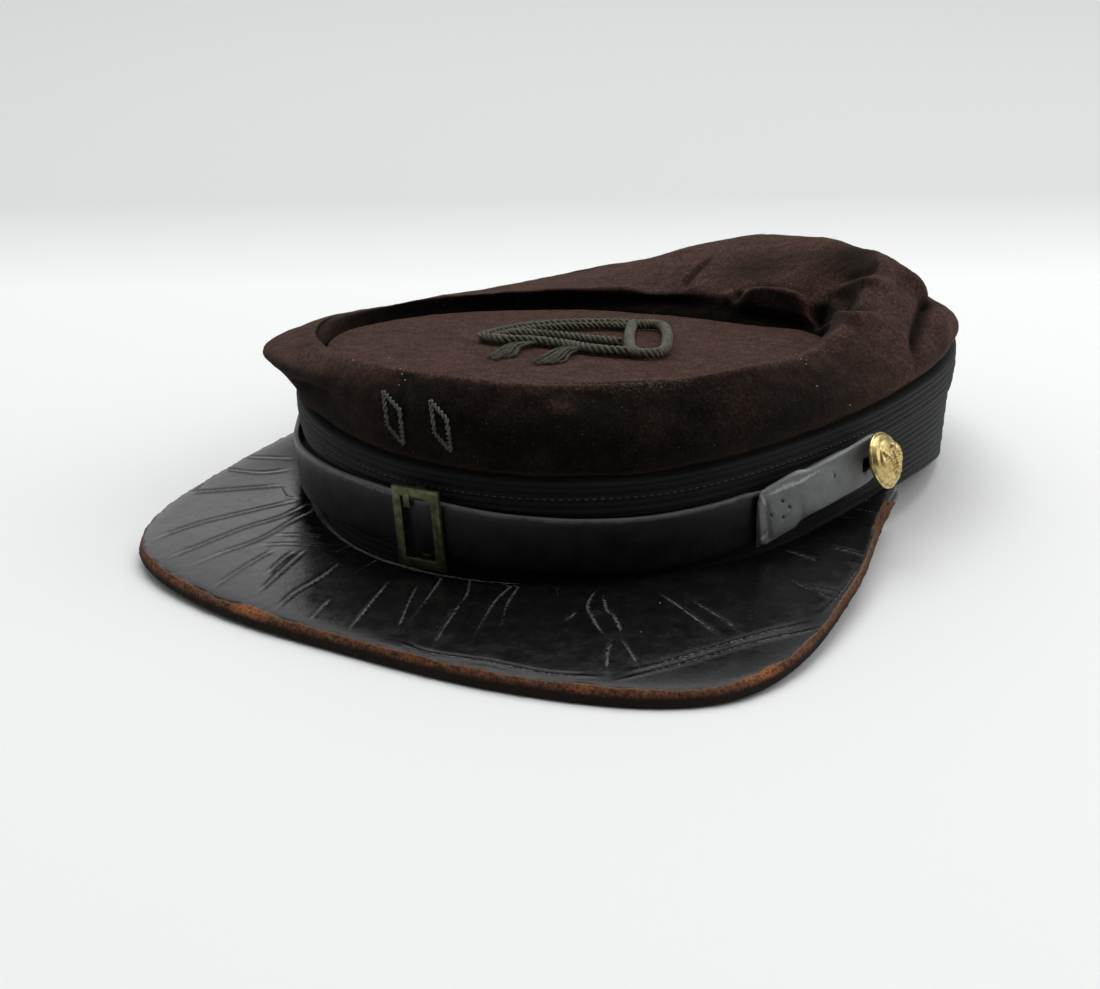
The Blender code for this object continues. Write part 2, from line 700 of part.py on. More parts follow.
def button_profile(shank_length):
    """Half of the button's outline from the top of the dome down to the foot of its shank."""
    steps = 4
    points = []
    for i in range(steps + 1):
        angle = math.radians(90) * i / steps
        points.append((BUTTON_RADIUS * 0.94 * math.sin(angle), BUTTON_DOME * math.cos(angle)))
    points[-1] = (BUTTON_RADIUS * 0.93, 0.35 * MM)
    points.append((BUTTON_RADIUS, 0.1 * MM))
    points.append((BUTTON_RADIUS, -BUTTON_RIM))
    points.append((BUTTON_RADIUS * 0.8, -BUTTON_BACK * 0.45))
    points.append((BUTTON_RADIUS * 0.45, -BUTTON_BACK * 0.92))
    points.append((SHANK_RADIUS, -BUTTON_BACK))
    points.append((SHANK_RADIUS, -BUTTON_BACK - shank_length))
    points.append((0.0, -BUTTON_BACK - shank_length))
    return points


def turned(name, profile, steps, collection, material):
    """A shape turned about Z from its outline at +X, read from the top down."""
    work = bmesh.new()
    verts = [work.verts.new((x, 0, z)) for x, z in profile]
    for a, b in zip(verts, verts[1:]):
        work.edges.new((a, b))
    mesh = bpy.data.meshes.new(name)
    work.to_mesh(mesh)
    work.free()
    obj = add_object(name, mesh, collection, material)
    screw = obj.modifiers.new("turn", "SCREW")
    screw.axis = "Z"
    screw.steps = steps
    screw.render_steps = steps
    screw.use_merge_vertices = True
    screw.merge_threshold = 0.00001
    screw.use_smooth_shade = True
    return obj


def slant(lean):
    """The sine of the angle between a leaning button's axis and the band's."""
    return math.sqrt(1 - lean[2][2] ** 2)


def rim_above(lean):
    """How far along its axis a button's rim is from the strap, so that its sunk edge clears it."""
    edge = BUTTON_RADIUS * slant(lean) + BUTTON_RIM * lean[2][2]
    return max((GAP + edge) / lean[2][2], BUTTON_BACK + 2 * GAP)


def shank_below(strap_front, lean):
    """The shank's length under the strap's face, so that its foot clears the braid."""
    foot = TOP_LAYER_LIFT + GAP + SHANK_RADIUS * slant(lean)
    return (strap_front - foot) / lean[2][2]


def button_place(compass, lean, strap_front):
    """Where a button stands: it leans about the point where its shank leaves the strap."""
    pivot = facing(compass, strap_height(compass), strap_front) @ lean
    return pivot @ Matrix.Translation((0, 0, rim_above(lean)))


def bird_part(name, part, tools):
    """A flattened ball that stands a little out of the button's dome."""
    work = bmesh.new()
    bmesh.ops.create_uvsphere(work, u_segments=8, v_segments=4, radius=MM)
    size = (part.half_width, part.half_height, part.half_depth)
    bmesh.ops.scale(work, vec=size, verts=work.verts[:])
    reach = math.hypot(part.across, part.up) * MM / BUTTON_RADIUS
    height = BUTTON_DOME * math.sqrt(1 - reach**2)
    place = Matrix.Translation((part.across * MM, part.up * MM, height))
    lean = Matrix.Rotation(math.radians(part.across * BIRD_LEAN_PER_MM), 4, "Y")
    turn = Matrix.Rotation(math.radians(-part.turn), 4, "Z")
    bmesh.ops.transform(work, matrix=place @ lean @ turn, verts=work.verts[:])
    return add_object(name, mesh_from(name, work), tools)


def make_button(name, compass, strap_front, lean, collection, tools, gilt):
    """A domed button that just clears the strap. Its shank reaches nearly to the band."""
    shank = rim_above(lean) - BUTTON_BACK + shank_below(strap_front, lean)
    button = turned(name, button_profile(shank), 20, collection, gilt)
    place = button_place(compass, lean, strap_front)
    button.matrix_world = place
    for part in BIRD_PARTS:
        raised = bird_part(name + "_" + part.name.replace(" ", "_"), part, tools)
        raised.matrix_world = place
        cut(button, raised, "UNION")
    return button


def shank_hole(name, compass, strap_front, lean, tools):
    """A cutter round the shank."""
    radius = SHANK_RADIUS + GAP
    work = bmesh.new()
    bmesh.ops.create_cone(
        work, cap_ends=True, segments=12, radius1=radius, radius2=radius, depth=0.03
    )
    hole = add_object(name, mesh_from(name, work), tools)
    hole.matrix_world = button_place(compass, lean, strap_front)
    return hole


# The corded horn on the top

BadgeRope = namedtuple("BadgeRope", "name radius closed points")
BADGE_ROPES = (
    BadgeRope(
        "upper edge of the horn",
        1.15,
        False,
        ((-21.5, -2.5), (-19.5, 5), (-15.5, 13.5), (-7.5, 21.5), (1.5, 26.5), (9, 27)),
    ),
    BadgeRope(
        "lower edge of the horn",
        1.15,
        False,
        ((-21.5, -2.5), (-15, -5.5), (-8, -4.5), (0, -5.2), (10, -9.2), (20, -9.5)),
    ),
    BadgeRope(
        "sling cord",
        1.05,
        False,
        ((-17.5, 6), (-11.5, 6), (-3.5, 5.2), (4.5, 3.8), (13, 2.2)),
    ),
    BadgeRope(
        "mouth of the bell",
        1.3,
        True,
        ((8.5, 26), (16, 26.5), (23, 8), (26, -7.5), (20, -9.5), (13, 9)),
    ),
    BadgeRope("first tassel", 1.5, False, ((-6.5, -4.5), (-9.5, -13.5), (-10.3, -23.5))),
    BadgeRope("second tassel", 1.5, False, ((6, -7.5), (3.5, -15), (2.3, -27))),
)


def badge_point(u, v):
    """A point on the top's surface from the badge's own right (u) and up (v), in millimetres."""
    x = BADGE_CENTRE[0] + (u * math.cos(BADGE_TURN) - v * math.sin(BADGE_TURN)) * MM
    y = BADGE_CENTRE[1] + (u * math.sin(BADGE_TURN) + v * math.cos(BADGE_TURN)) * MM
    share = math.hypot((x - TOP_CENTRE.x) / TOP_HALF_WIDTH, (y - TOP_CENTRE.y) / TOP_HALF_LENGTH)
    height = top_height(x, y) + TOP_DOME * (1 - share**2)
    return Vector((x, y, height))


def rope_tube(rope, collection, material):
    """A rope as a closed mesh tube that lies on the top."""
    lift = Vector((0, 0, rope.radius * MM + GAP))
    points = [badge_point(u, v) + lift for u, v in rope.points]
    if rope.closed:
        ring = points[-1:] + points + points[:2]
        path = smooth_path(ring, steps=[3] * (len(ring) - 1))[3:-4]
    else:
        path = smooth_path(points, steps=[3] * (len(points) - 1))
    curve = bpy.data.curves.new(rope.name, "CURVE")
    curve.dimensions = "3D"
    curve.bevel_depth = rope.radius * MM
    curve.bevel_resolution = 1
    curve.use_fill_caps = True
    spline = curve.splines.new("POLY")
    spline.points.add(len(path) - 1)
    for spot, place in zip(spline.points, path):
        spot.co = (*place, 1.0)
    spline.use_cyclic_u = rope.closed
    guide = add_object(rope.name, curve, collection)
    graph = bpy.context.evaluated_depsgraph_get()
    mesh = bpy.data.meshes.new_from_object(guide.evaluated_get(graph))
    bpy.data.objects.remove(guide)
    work = bmesh.new()
    work.from_mesh(mesh)
    bmesh.ops.remove_doubles(work, verts=work.verts[:], dist=0.00001)
    return add_object(rope.name, mesh_from(rope.name, work), collection, material)


def make_badge(collection, tools, cord):
    first, *others = [rope_tube(rope, tools, cord) for rope in BADGE_ROPES]
    collection.objects.link(first)
    tools.objects.unlink(first)
    first.name = "horn_badge"
    for other in others:
        cut(first, other, "UNION")
    return first


def centre_on_origin(pieces, tools):
    """Moves everything by an empty, so that the middle of the cap's footprint is the origin."""
    graph = bpy.context.evaluated_depsgraph_get()
    points = []
    for obj in pieces.objects:
        made = obj.evaluated_get(graph)
        points += [made.matrix_world @ vert.co for vert in made.data.vertices]
    low = [min(point[axis] for point in points) for axis in range(3)]
    high = [max(point[axis] for point in points) for axis in range(3)]
    middle = Vector(((low[0] + high[0]) / 2, (low[1] + high[1]) / 2, low[2]))
    everything = [*pieces.objects, *tools.objects]
    carrier = add_object("cap_origin", None, pieces)
    carrier.location = -middle
    for obj in everything:
        obj.parent = carrier


def main():
    clear_scene()
    kepi = new_collection("kepi")
    tools = new_collection("cutters")
    tools.hide_render = True
    wool = finish("brown_wool", BROWN_WOOL, 0.95)
    braid = finish("black_braid", BLACK_BRAID, 0.7)
    lacquer = finish("black_lacquer", BLACK_LACQUER, 0.3)
    grey_lacquer = finish("grey_lacquer", GREY_LACQUER, 0.35)
    brass = finish("olive_brass", OLIVE_BRASS, 0.4, 1.0)
    gilt = finish("gilt_brass", GILT_BRASS, 0.3, 1.0)
    cord = finish("olive_cord", OLIVE_CORD, 0.8)

    make_crown(kepi, wool)
    make_top(kepi, wool)
    make_braid(kepi, braid)
    make_peak(kepi, lacquer)
    left, right = STRAP_ROWS[-1].compass, STRAP_ROWS[0].compass
    long_front = TOP_LAYER_LIFT + GAP + STRAP_THICKNESS
    short_front = long_front + GAP + STRAP_THICKNESS
    right_hole = shank_hole("right_hole", right, long_front, RIGHT_BUTTON_LEAN, tools)
    left_hole = shank_hole("left_hole", left, short_front, LEFT_BUTTON_LEAN, tools)
    make_strap("strap_long", long_strap_stations(), kepi, lacquer, right_hole)
    make_strap("strap_short", short_strap_stations(), kepi, grey_lacquer, left_hole)
    make_buckle(kepi, tools, brass)
    make_button("button_left", left, short_front, LEFT_BUTTON_LEAN, kepi, tools, gilt)
    make_button("button_right", right, long_front, RIGHT_BUTTON_LEAN, kepi, tools, gilt)
    make_badge(kepi, tools, cord)
    centre_on_origin(kepi, tools)


main()
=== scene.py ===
# %% [markdown]
# # The looks of a worn kepi
# This lesson dresses a packed cap. The solids that it loads are plain: they hold the real sizes and
# the main folds. Each step below takes one piece of the real cap, says what it is, and gives that
# piece the form and finish that a closer look shows.

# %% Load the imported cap
import math
import random
from collections import namedtuple
from contextlib import contextmanager

import bpy
import numpy as np
from mathutils import Matrix, Vector, noise
from mathutils.bvhtree import BVHTree
from mathutils.kdtree import KDTree


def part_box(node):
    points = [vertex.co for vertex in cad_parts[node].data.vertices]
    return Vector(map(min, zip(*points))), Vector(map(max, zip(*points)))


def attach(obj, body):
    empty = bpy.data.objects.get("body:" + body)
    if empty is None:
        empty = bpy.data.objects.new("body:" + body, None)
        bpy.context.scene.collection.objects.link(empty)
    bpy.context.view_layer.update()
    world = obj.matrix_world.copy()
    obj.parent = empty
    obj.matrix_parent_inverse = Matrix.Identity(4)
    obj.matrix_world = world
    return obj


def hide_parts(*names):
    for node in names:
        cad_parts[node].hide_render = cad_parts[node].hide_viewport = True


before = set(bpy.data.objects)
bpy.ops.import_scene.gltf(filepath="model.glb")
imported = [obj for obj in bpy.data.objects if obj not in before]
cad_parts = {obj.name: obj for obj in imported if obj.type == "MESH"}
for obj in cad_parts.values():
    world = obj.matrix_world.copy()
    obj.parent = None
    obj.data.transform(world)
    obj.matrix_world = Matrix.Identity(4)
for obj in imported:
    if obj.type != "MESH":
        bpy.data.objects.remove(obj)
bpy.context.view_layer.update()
MM = 0.001
print("nodes:", ", ".join(sorted(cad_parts)))

# %% [markdown]
# ## The band's middle
# The braid band is an oval, and its middle is the best point to measure from. The oval bulges a
# little more on the wearer's left, so its middle lies just right of the middle of its box. A compass
# angle names a place round the band: 0 is the wearer's left, 90 the back and -90 the front.

# %% Measure the band
LEFT_BULGE = 0.85 * MM
band_low, band_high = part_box("braid_band")
middle = Vector(((band_low.x + band_high.x) / 2 - LEFT_BULGE, (band_low.y + band_high.y) / 2, 0))
print("band's middle, mm:", [round(v / MM, 1) for v in middle])

# %% [markdown]
# ## The camera
# The camera stands where the photographer's did: in front of the cap, towards the wearer's left, and
# a little above it. It comes first, because it also helps to place small things: a ray through a
# point of the photograph meets the cap where that scratch or fibre really is.

# %% Place the camera
CAMERA_OFFSET = Vector((276.8, -533.6, 204.5)) * MM
CAMERA_AZIMUTH, CAMERA_ELEVATION, CAMERA_ROLL = 29.5, 19.4, -1.2
FOCAL_PIXELS, SENSOR = 2407.0, 36.0
PHOTO_WIDTH, PHOTO_HEIGHT = 1100.0, 989.0
camera_turn = Matrix.Rotation(math.radians(CAMERA_AZIMUTH), 4, "Z")
camera_turn @= Matrix.Rotation(math.radians(90 - CAMERA_ELEVATION), 4, "X")
camera_turn @= Matrix.Rotation(math.radians(CAMERA_ROLL), 4, "Z")
camera_place = middle + CAMERA_OFFSET
bpy.ops.object.camera_add()
camera = bpy.context.active_object
camera.name = "camera"
camera.matrix_world = Matrix.Translation(camera_place) @ camera_turn
camera.data.sensor_width = SENSOR
camera.data.lens = FOCAL_PIXELS / PHOTO_WIDTH * SENSOR
camera.data.clip_start = 0.01
bpy.context.scene.camera = camera
print(f"camera: {camera.data.lens:.1f} mm lens, {CAMERA_OFFSET.length:.3f} m from the band's middle")


# %% A place on the cap from a point of the photo
def seen(skin, pixel):
    """Where the ray through a pixel of the photo meets a skin, and which way that skin faces."""
    x, y = pixel
    ray = camera_turn.to_3x3() @ Vector((x - PHOTO_WIDTH / 2, PHOTO_HEIGHT / 2 - y, -FOCAL_PIXELS))
    ray.normalize()
    place, facing, _, _ = skin.ray_cast(camera_place, ray)
    if place is None:
        place, facing, _, _ = skin.find_nearest(camera_place + ray * CAMERA_OFFSET.length)
    return place, facing


# %% [markdown]
# ## Working on copies
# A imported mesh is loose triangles. A copy of it is merged and turned back into four-sided faces, and
# then it can be subdivided smoothly and sculpted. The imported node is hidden, and the copy stands for
# it. A few helpers read and move the points of a mesh as one table.

# %% Helpers for meshes
def select_only(*things):
    bpy.ops.object.select_all(action="DESELECT")
    for thing in things:
        thing.select_set(True)
    bpy.context.view_layer.objects.active = things[0]


@contextmanager
def edit_mode(piece):
    """Edits a piece's mesh, with all of it selected."""
    select_only(piece)
    bpy.ops.object.mode_set(mode="EDIT")
    bpy.ops.mesh.select_all(action="SELECT")
    yield
    bpy.ops.object.mode_set(mode="OBJECT")


MERGE_WITHIN = 0.02 * MM
QUAD_BEND, QUAD_SKEW = math.radians(60), math.radians(70)


def merged_copy(node, name, quads=True):
    """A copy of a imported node, with its loose triangles merged into one skin."""
    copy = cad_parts[node].copy()
    copy.data = copy.data.copy()
    copy.name = copy.data.name = name
    copy.parent = None
    for key in list(copy.keys()):
        del copy[key]
    bpy.context.scene.collection.objects.link(copy)
    with edit_mode(copy):
        bpy.ops.mesh.remove_doubles(threshold=MERGE_WITHIN)
        bpy.ops.mesh.customdata_custom_splitnormals_clear()
        if quads:
            bpy.ops.mesh.tris_convert_to_quads(face_threshold=QUAD_BEND, shape_threshold=QUAD_SKEW)
    bpy.ops.object.shade_smooth()
    return copy


def subdivide(piece, levels):
    """Subdivides a piece smoothly, for good."""
    select_only(piece)
    refine = piece.modifiers.new("refine", "SUBSURF")
    refine.levels = refine.render_levels = levels
    bpy.ops.object.modifier_apply(modifier=refine.name)


def refine_where(piece, chosen, cuts=1):
    """Divides only the chosen faces further."""
    piece.data.polygons.foreach_set("select", chosen)
    select_only(piece)
    bpy.context.tool_settings.mesh_select_mode = (False, False, True)
    bpy.ops.object.mode_set(mode="EDIT")
    bpy.ops.mesh.subdivide(number_cuts=cuts, smoothness=0)
    bpy.ops.object.mode_set(mode="OBJECT")
    bpy.ops.object.shade_smooth()


def table_of(items, field):
    """One field of every point or face of a mesh, such as its place, as rows of x, y and z."""
    found = np.zeros(len(items) * 3)
    items.foreach_get(field, found)
    return found.reshape(-1, 3)


def places(piece):
    return table_of(piece.data.vertices, "co")


def directions(piece):
    return table_of(piece.data.vertices, "normal")


def move_to(piece, points):
    piece.data.vertices.foreach_set("co", points.ravel())
    piece.data.update()


def paint(piece, name, values):
    """Keeps one value for each point with the mesh, for a finish to read."""
    layer = piece.data.attributes.new(name, "FLOAT", "POINT")
    layer.data.foreach_set("value", np.asarray(values, dtype=np.float32))


def skin_of(piece):
    mesh = piece.data
    return BVHTree.FromPolygons([v.co for v in mesh.vertices], [tuple(p.vertices) for p in mesh.polygons])


def compass_of(points):
    """The compass angle of each point, in degrees."""
    return np.degrees(np.arctan2(points[:, 1] - middle.y, points[:, 0] - middle.x))


def finish_piece(piece, slot, finish, *nodes):
    """Gives a piece its finish and body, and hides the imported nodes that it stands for."""
    piece.data.materials.clear()
    piece.data.materials.append(finish)
    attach(piece, "root")
    if nodes:
        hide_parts(*nodes)
    print(f"{piece.name}: {sum(len(p.vertices) - 2 for p in piece.data.polygons)} triangles")


# %% [markdown]
# ## Sculpting in code
# Cloth and leather get their small folds as a sculptor would give them: a line is drawn on the
# surface, and the points near it rise or sink along the way that the surface faces. Both skins of a
# thin wall move together, so a wall keeps its thickness.

# %% Brushes
FAR = 3.0


def smoothstep(values, low, high):
    share = np.clip((values - low) / (high - low), 0, 1)
    return share * share * (3 - 2 * share)


def curved(points, steps=6):
    """A smooth curve through points, with a few steps for each stretch between two."""
    points = np.asarray(points, dtype=float)
    padded = np.vstack((2 * points[0] - points[1], points, 2 * points[-1] - points[-2]))
    rows = []
    for before, start, end, after in zip(padded, padded[1:], padded[2:], padded[3:]):
        for t in np.arange(steps) / steps:
            bend = (2 * before - 5 * start + 4 * end - after) * t**2
            turn = (3 * start - before - 3 * end + after) * t**3
            rows.append((2 * start + (end - before) * t + bend + turn) / 2)
    rows.append(points[-1])
    return np.array(rows)


def near_line(points, line):
    """How far each point is from a line, and which share of the line's length it is beside."""
    lengths = np.linalg.norm(np.diff(line, axis=0), axis=1)
    starts = np.concatenate(([0.0], np.cumsum(lengths)))
    best, along = np.full(len(points), np.inf), np.zeros(len(points))
    for i, (start, end) in enumerate(zip(line, line[1:])):
        way = end - start
        share = np.clip((points - start) @ way / max(way @ way, 1e-12), 0, 1)
        gap = np.linalg.norm(points - start - share[:, None] * way, axis=1)
        closer = gap < best
        best[closer] = gap[closer]
        along[closer] = ((starts[i] + share * lengths[i]) / starts[-1])[closer]
    return best, along


def press(piece, skin, pixels, width, height, fade=0.3, toward=None):
    """Raises a soft ridge along a line of the photo, or sinks a groove where the height is negative.

    Width and height are in millimetres. It returns how strongly each point was touched.
    """
    hits = [seen(skin, pixel) for pixel in curved(pixels)]
    line = np.array([place for place, _ in hits])
    facing = np.array([way if toward is None else toward for _, way in hits])
    points = places(piece)
    reach = 3 * width * MM
    near = np.all((points > line.min(0) - reach) & (points < line.max(0) + reach), axis=1)
    gap, along = near_line(points[near], line)
    spots = np.linspace(0, 1, len(line))
    way = np.stack([np.interp(along, spots, facing[:, k]) for k in range(3)], axis=1)
    touch = np.exp(-((gap / (width * MM)) ** 2)) * smoothstep(np.minimum(along, 1 - along), -0.02, fade)
    points[near] += way * (touch * height * MM)[:, None]
    move_to(piece, points)
    strength = np.zeros(len(points))
    strength[near] = touch
    return strength


def gap_to_line(points, skin, pixels, taper=0.5):
    """The distance in millimetres from each point to a line of the photo, growing at its ends."""
    line = np.array([seen(skin, pixel)[0] for pixel in curved(pixels)])
    found = np.full(len(points), FAR)
    near = np.all((points > line.min(0) - FAR * MM) & (points < line.max(0) + FAR * MM), axis=1)
    gap, along = near_line(points[near], line)
    fade = smoothstep(np.minimum(along, 1 - along), 0.0, 0.25)
    found[near] = np.minimum(gap / MM + taper * (1 - fade), FAR)
    return found


def waves(points, size, seed):
    """Soft noise between about -1 and 1 at each point, with waves of a size in millimetres."""
    shift = Vector((seed, -seed, seed / 2))
    return np.array([noise.noise(Vector(p) / (size * MM) + shift) for p in points])


def ripple(piece, size, height, seed):
    """Moves a piece's points in and out by soft noise."""
    points, facing = places(piece), directions(piece)
    move_to(piece, points + facing * (waves(points, size, seed) * height * MM)[:, None])


# %% [markdown]
# ## A finish from nodes
# Every finish starts from one Principled shader. A small helper adds nodes and joins them, so that
# each recipe below reads from top to bottom.

# %% Recipes
class Recipe:
    """One material, built node by node."""

    def __init__(self, name):
        self.material = bpy.data.materials.new(name)
        self.material.use_nodes = True
        self.tree = self.material.node_tree
        self.shader = self.tree.nodes["Principled BSDF"]
        self.place = self.node("ShaderNodeTexCoord").outputs["Object"]

    def node(self, kind, **settings):
        made = self.tree.nodes.new(kind)
        for name, value in settings.items():
            setattr(made, name, value)
        return made

    def feed(self, socket, value):
        """Joins a socket to what another node gives, or sets it to a number or a colour."""
        if isinstance(value, bpy.types.NodeSocket):
            self.tree.links.new(value, socket)
        elif isinstance(value, tuple):
            socket.default_value = (*value, 1.0)
        else:
            socket.default_value = value

    def set(self, **values):
        for name, value in values.items():
            self.feed(self.shader.inputs[name.replace("_", " ")], value)

    def noise(self, size, detail=3.0, roughness=0.55, stretch=(1, 1, 1), seed=0.0):
        """Soft noise with waves of a size in millimetres. A larger stretch is finer that way."""
        mapping = self.node("ShaderNodeMapping")
        mapping.inputs["Scale"].default_value = stretch
        mapping.inputs["Location"].default_value = (seed, seed * 0.7, -seed)
        self.feed(mapping.inputs["Vector"], self.place)
        made = self.node("ShaderNodeTexNoise")
        made.inputs["Scale"].default_value = 1 / (size * MM)
        made.inputs["Detail"].default_value = detail
        made.inputs["Roughness"].default_value = roughness
        self.feed(made.inputs["Vector"], mapping.outputs["Vector"])
        return made.outputs["Fac"]

    def cells(self, size):
        made = self.node("ShaderNodeTexVoronoi")
        made.inputs["Scale"].default_value = 1 / (size * MM)
        self.feed(made.inputs["Vector"], self.place)
        return made.outputs["Distance"]

    def attribute(self, name):
        return self.node("ShaderNodeAttribute", attribute_name=name).outputs["Fac"]

    def ramp(self, source, *stops):
        """Turns a value into a colour or a grey, by stops of (value, colour)."""
        made = self.node("ShaderNodeValToRGB")
        elements = made.color_ramp.elements
        while len(elements) < len(stops):
            elements.new(0.5)
        for element, (position, color) in zip(elements, stops):
            element.position = position
            element.color = (*color, 1.0) if isinstance(color, tuple) else (color, color, color, 1.0)
        self.feed(made.inputs["Fac"], source)
        return made.outputs["Color"]

    def mix(self, factor, first, second, blend="MIX"):
        made = self.node("ShaderNodeMix", data_type="RGBA", blend_type=blend)
        for index, value in ((0, factor), (6, first), (7, second)):
            self.feed(made.inputs[index], value)
        return made.outputs[2]

    def math(self, operation, first, second=0.0, third=0.0):
        made = self.node("ShaderNodeMath", operation=operation)
        for socket, value in zip(made.inputs, (first, second, third)):
            self.feed(socket, value)
        return made.outputs[0]

    def span(self, source, low, high, start=0.0, end=1.0):
        """Maps a value from one span to another, and stops at its ends."""
        made = self.node("ShaderNodeMapRange", clamp=True)
        for index, value in enumerate((source, low, high, start, end)):
            self.feed(made.inputs[index], value)
        return made.outputs[0]

    def bump(self, height, depth, strength=1.0, under=None):
        """Fine relief from a height between 0 and 1, with its depth in millimetres."""
        made = self.node("ShaderNodeBump")
        made.inputs["Strength"].default_value = strength
        made.inputs["Distance"].default_value = depth * MM
        self.feed(made.inputs["Height"], height)
        if under is not None:
            self.feed(made.inputs["Normal"], under)
        return made.outputs["Normal"]


# %% [markdown]
# ## Wool cloth
# The cap is milled wool, once nearly black. Its colour carries painted light and shade: it is red
# brown where light falls, on top and on the wearer's left, which is partly real sun fading, and nearly
# black on the front wall in shade. Its nap stands up in fine hairs that catch the light at a flat angle.
# Sheen does this, fine noise gives the felted nap, long noise gives the rubbed places, and small bright
# cells give the lint.

# %% Where the wool is painted light, with some sun fading
def away_from_middle(points):
    """The level direction from the band's middle to each point."""
    away = points - np.array(middle)
    away[:, 2] = 0
    return away / np.maximum(np.linalg.norm(away, axis=1), 1e-9)[:, None]


# The compass span of the side that the side lamp lights; it is painted lighter.
LIT_SIDE_FROM, LIT_SIDE_TO = (-40, 5), (80, 125)


def lit_and_faded(piece):
    """How much painted light, with some sun fading, each point gets, from 0 to 1: most on top, then on the
    wearer's left.
    """
    up = smoothstep(directions(piece)[:, 2], 0.62, 1.0)
    turns = compass_of(places(piece))
    side = smoothstep(turns, *LIT_SIDE_FROM) * (1 - smoothstep(turns, *LIT_SIDE_TO))
    side *= smoothstep(np.sum(directions(piece) * away_from_middle(places(piece)), axis=1), -0.1, 0.5)
    return np.maximum(up, 0.85 * side) * 0.95 + 0.05


# %% The wool's finish
# Dark wool for the walls in shade and a lit red brown, partly sun fading, where light falls: mixing them
# paints light and shade.
WOOL_LIT_FADED, WOOL_SHADED_DARK, WOOL_SHEEN = (0.046, 0.0245, 0.0195), (0.0052, 0.0046, 0.0040), (0.40, 0.28, 0.23)


def wool_finish():
    wool = Recipe("lit_and_faded_wool")
    patches = wool.noise(16, detail=5, roughness=0.62)
    # Painted light and shade: lighter where light falls and darker in shade, with random patches.
    light_and_age = wool.math("ADD", wool.attribute("lit_and_faded"), wool.span(patches, 0.3, 0.7, -0.22, 0.16))
    color = wool.mix(wool.span(light_and_age, 0.0, 1.0), WOOL_SHADED_DARK, WOOL_LIT_FADED)
    rubbed = wool.ramp(wool.noise(3.2, detail=5, roughness=0.7, seed=4.0), (0.38, 0.50), (0.64, 1.0))
    color = wool.mix(1.0, color, rubbed, "MULTIPLY")
    fibres = wool.span(wool.noise(0.7, detail=4, roughness=0.7, stretch=(1, 1, 0.18)), 0.36, 0.66, 0.60, 1.75)
    color = wool.mix(wool.attribute("lit_and_faded"), color, wool.mix(1.0, color, fibres, "MULTIPLY"))
    felt = wool.noise(0.7, detail=5, roughness=0.8)
    pale = wool.mix(1.0, color, (3.3, 3.0, 2.7), "MULTIPLY")
    color = wool.mix(wool.ramp(felt, (0.46, 0.0), (0.70, 1.0)), color, pale)
    color = wool.mix(wool.ramp(felt, (0.32, 0.75), (0.48, 0.0)), color, (0.003, 0.0022, 0.002))
    rare = wool.ramp(wool.noise(1.7, seed=3.0), (0.60, 0.0), (0.66, 1.0))
    lint = wool.mix(1.0, wool.ramp(wool.cells(1.3), (0.07, 1.0), (0.15, 0.0)), rare, "MULTIPLY")
    color = wool.mix(lint, color, (0.16, 0.12, 0.10))
    torn = wool.span(wool.noise(0.45, detail=4, roughness=0.7, seed=6.0), 0.53, 0.64)
    torn = wool.math("MULTIPLY", torn, wool.span(wool.attribute("fray_gap"), 0.5, 2.4, 1.0, 0.0))
    color = wool.mix(torn, color, (0.115, 0.093, 0.072))
    # Painted shade: the crown's folds, undercuts and hollows are darkened where shade falls in them.
    shade = wool.span(wool.attribute("painted_shade"), 0.1, 1.0, 1.0, 0.22)
    color = wool.mix(1.0, color, shade, "MULTIPLY")
    coarse = wool.bump(wool.noise(2.2, detail=4), 0.35, 0.6)
    wool.set(
        Base_Color=color,
        Roughness=0.95,
        Specular_IOR_Level=0.05,
        Sheen_Weight=0.22,
        Sheen_Roughness=0.42,
        Sheen_Tint=WOOL_SHEEN,
        Normal=wool.bump(felt, 0.28, 1.0, under=coarse),
    )
    return wool.material


WOOL = wool_finish()

# %% [markdown]
# ## The crown
# The crown is one tube of wool, seamed at the front. It bulges over the braid, rolls in at the rim
# and turns down to the seam of the sunken top. Its back has fallen forwards over the top in soft
# folds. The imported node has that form, so a copy is subdivided smoothly, and its outer skin is divided
# once more, because small creases need the points. The inner skin, which nobody sees, is left alone.

# %% Refine the crown
UP = Vector((0, 0, 1))
OFF_THE_SKIN = 0.1
SKYWARD = 0.5


def in_open_air(piece, *others):
    """Which faces of a piece see the sky straight up, or at a slant on the side that they face."""
    skins = [skin_of(thing) for thing in (piece, *others)]
    found = []
    faces = piece.data.polygons
    for centre, way in zip(table_of(faces, "center"), table_of(faces, "normal")):
        start = Vector(centre + way * OFF_THE_SKIN * MM)
        rays = (UP, Vector((way[0], way[1], SKYWARD)))
        found.append(any(all(skin.ray_cast(start, ray)[0] is None for skin in skins) for ray in rays))
    return np.array(found)


crown = merged_copy("crown", "crown_cloth")
subdivide(crown, 2)
refine_where(crown, in_open_air(crown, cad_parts["top_disc"]))
print("crown points:", len(crown.data.vertices))
crown_skin = skin_of(crown)

# %% [markdown]
# The folds are drawn along the lines that they follow in the photograph. Widths and heights are in
# millimetres: a positive height is a ridge and a negative one a groove.

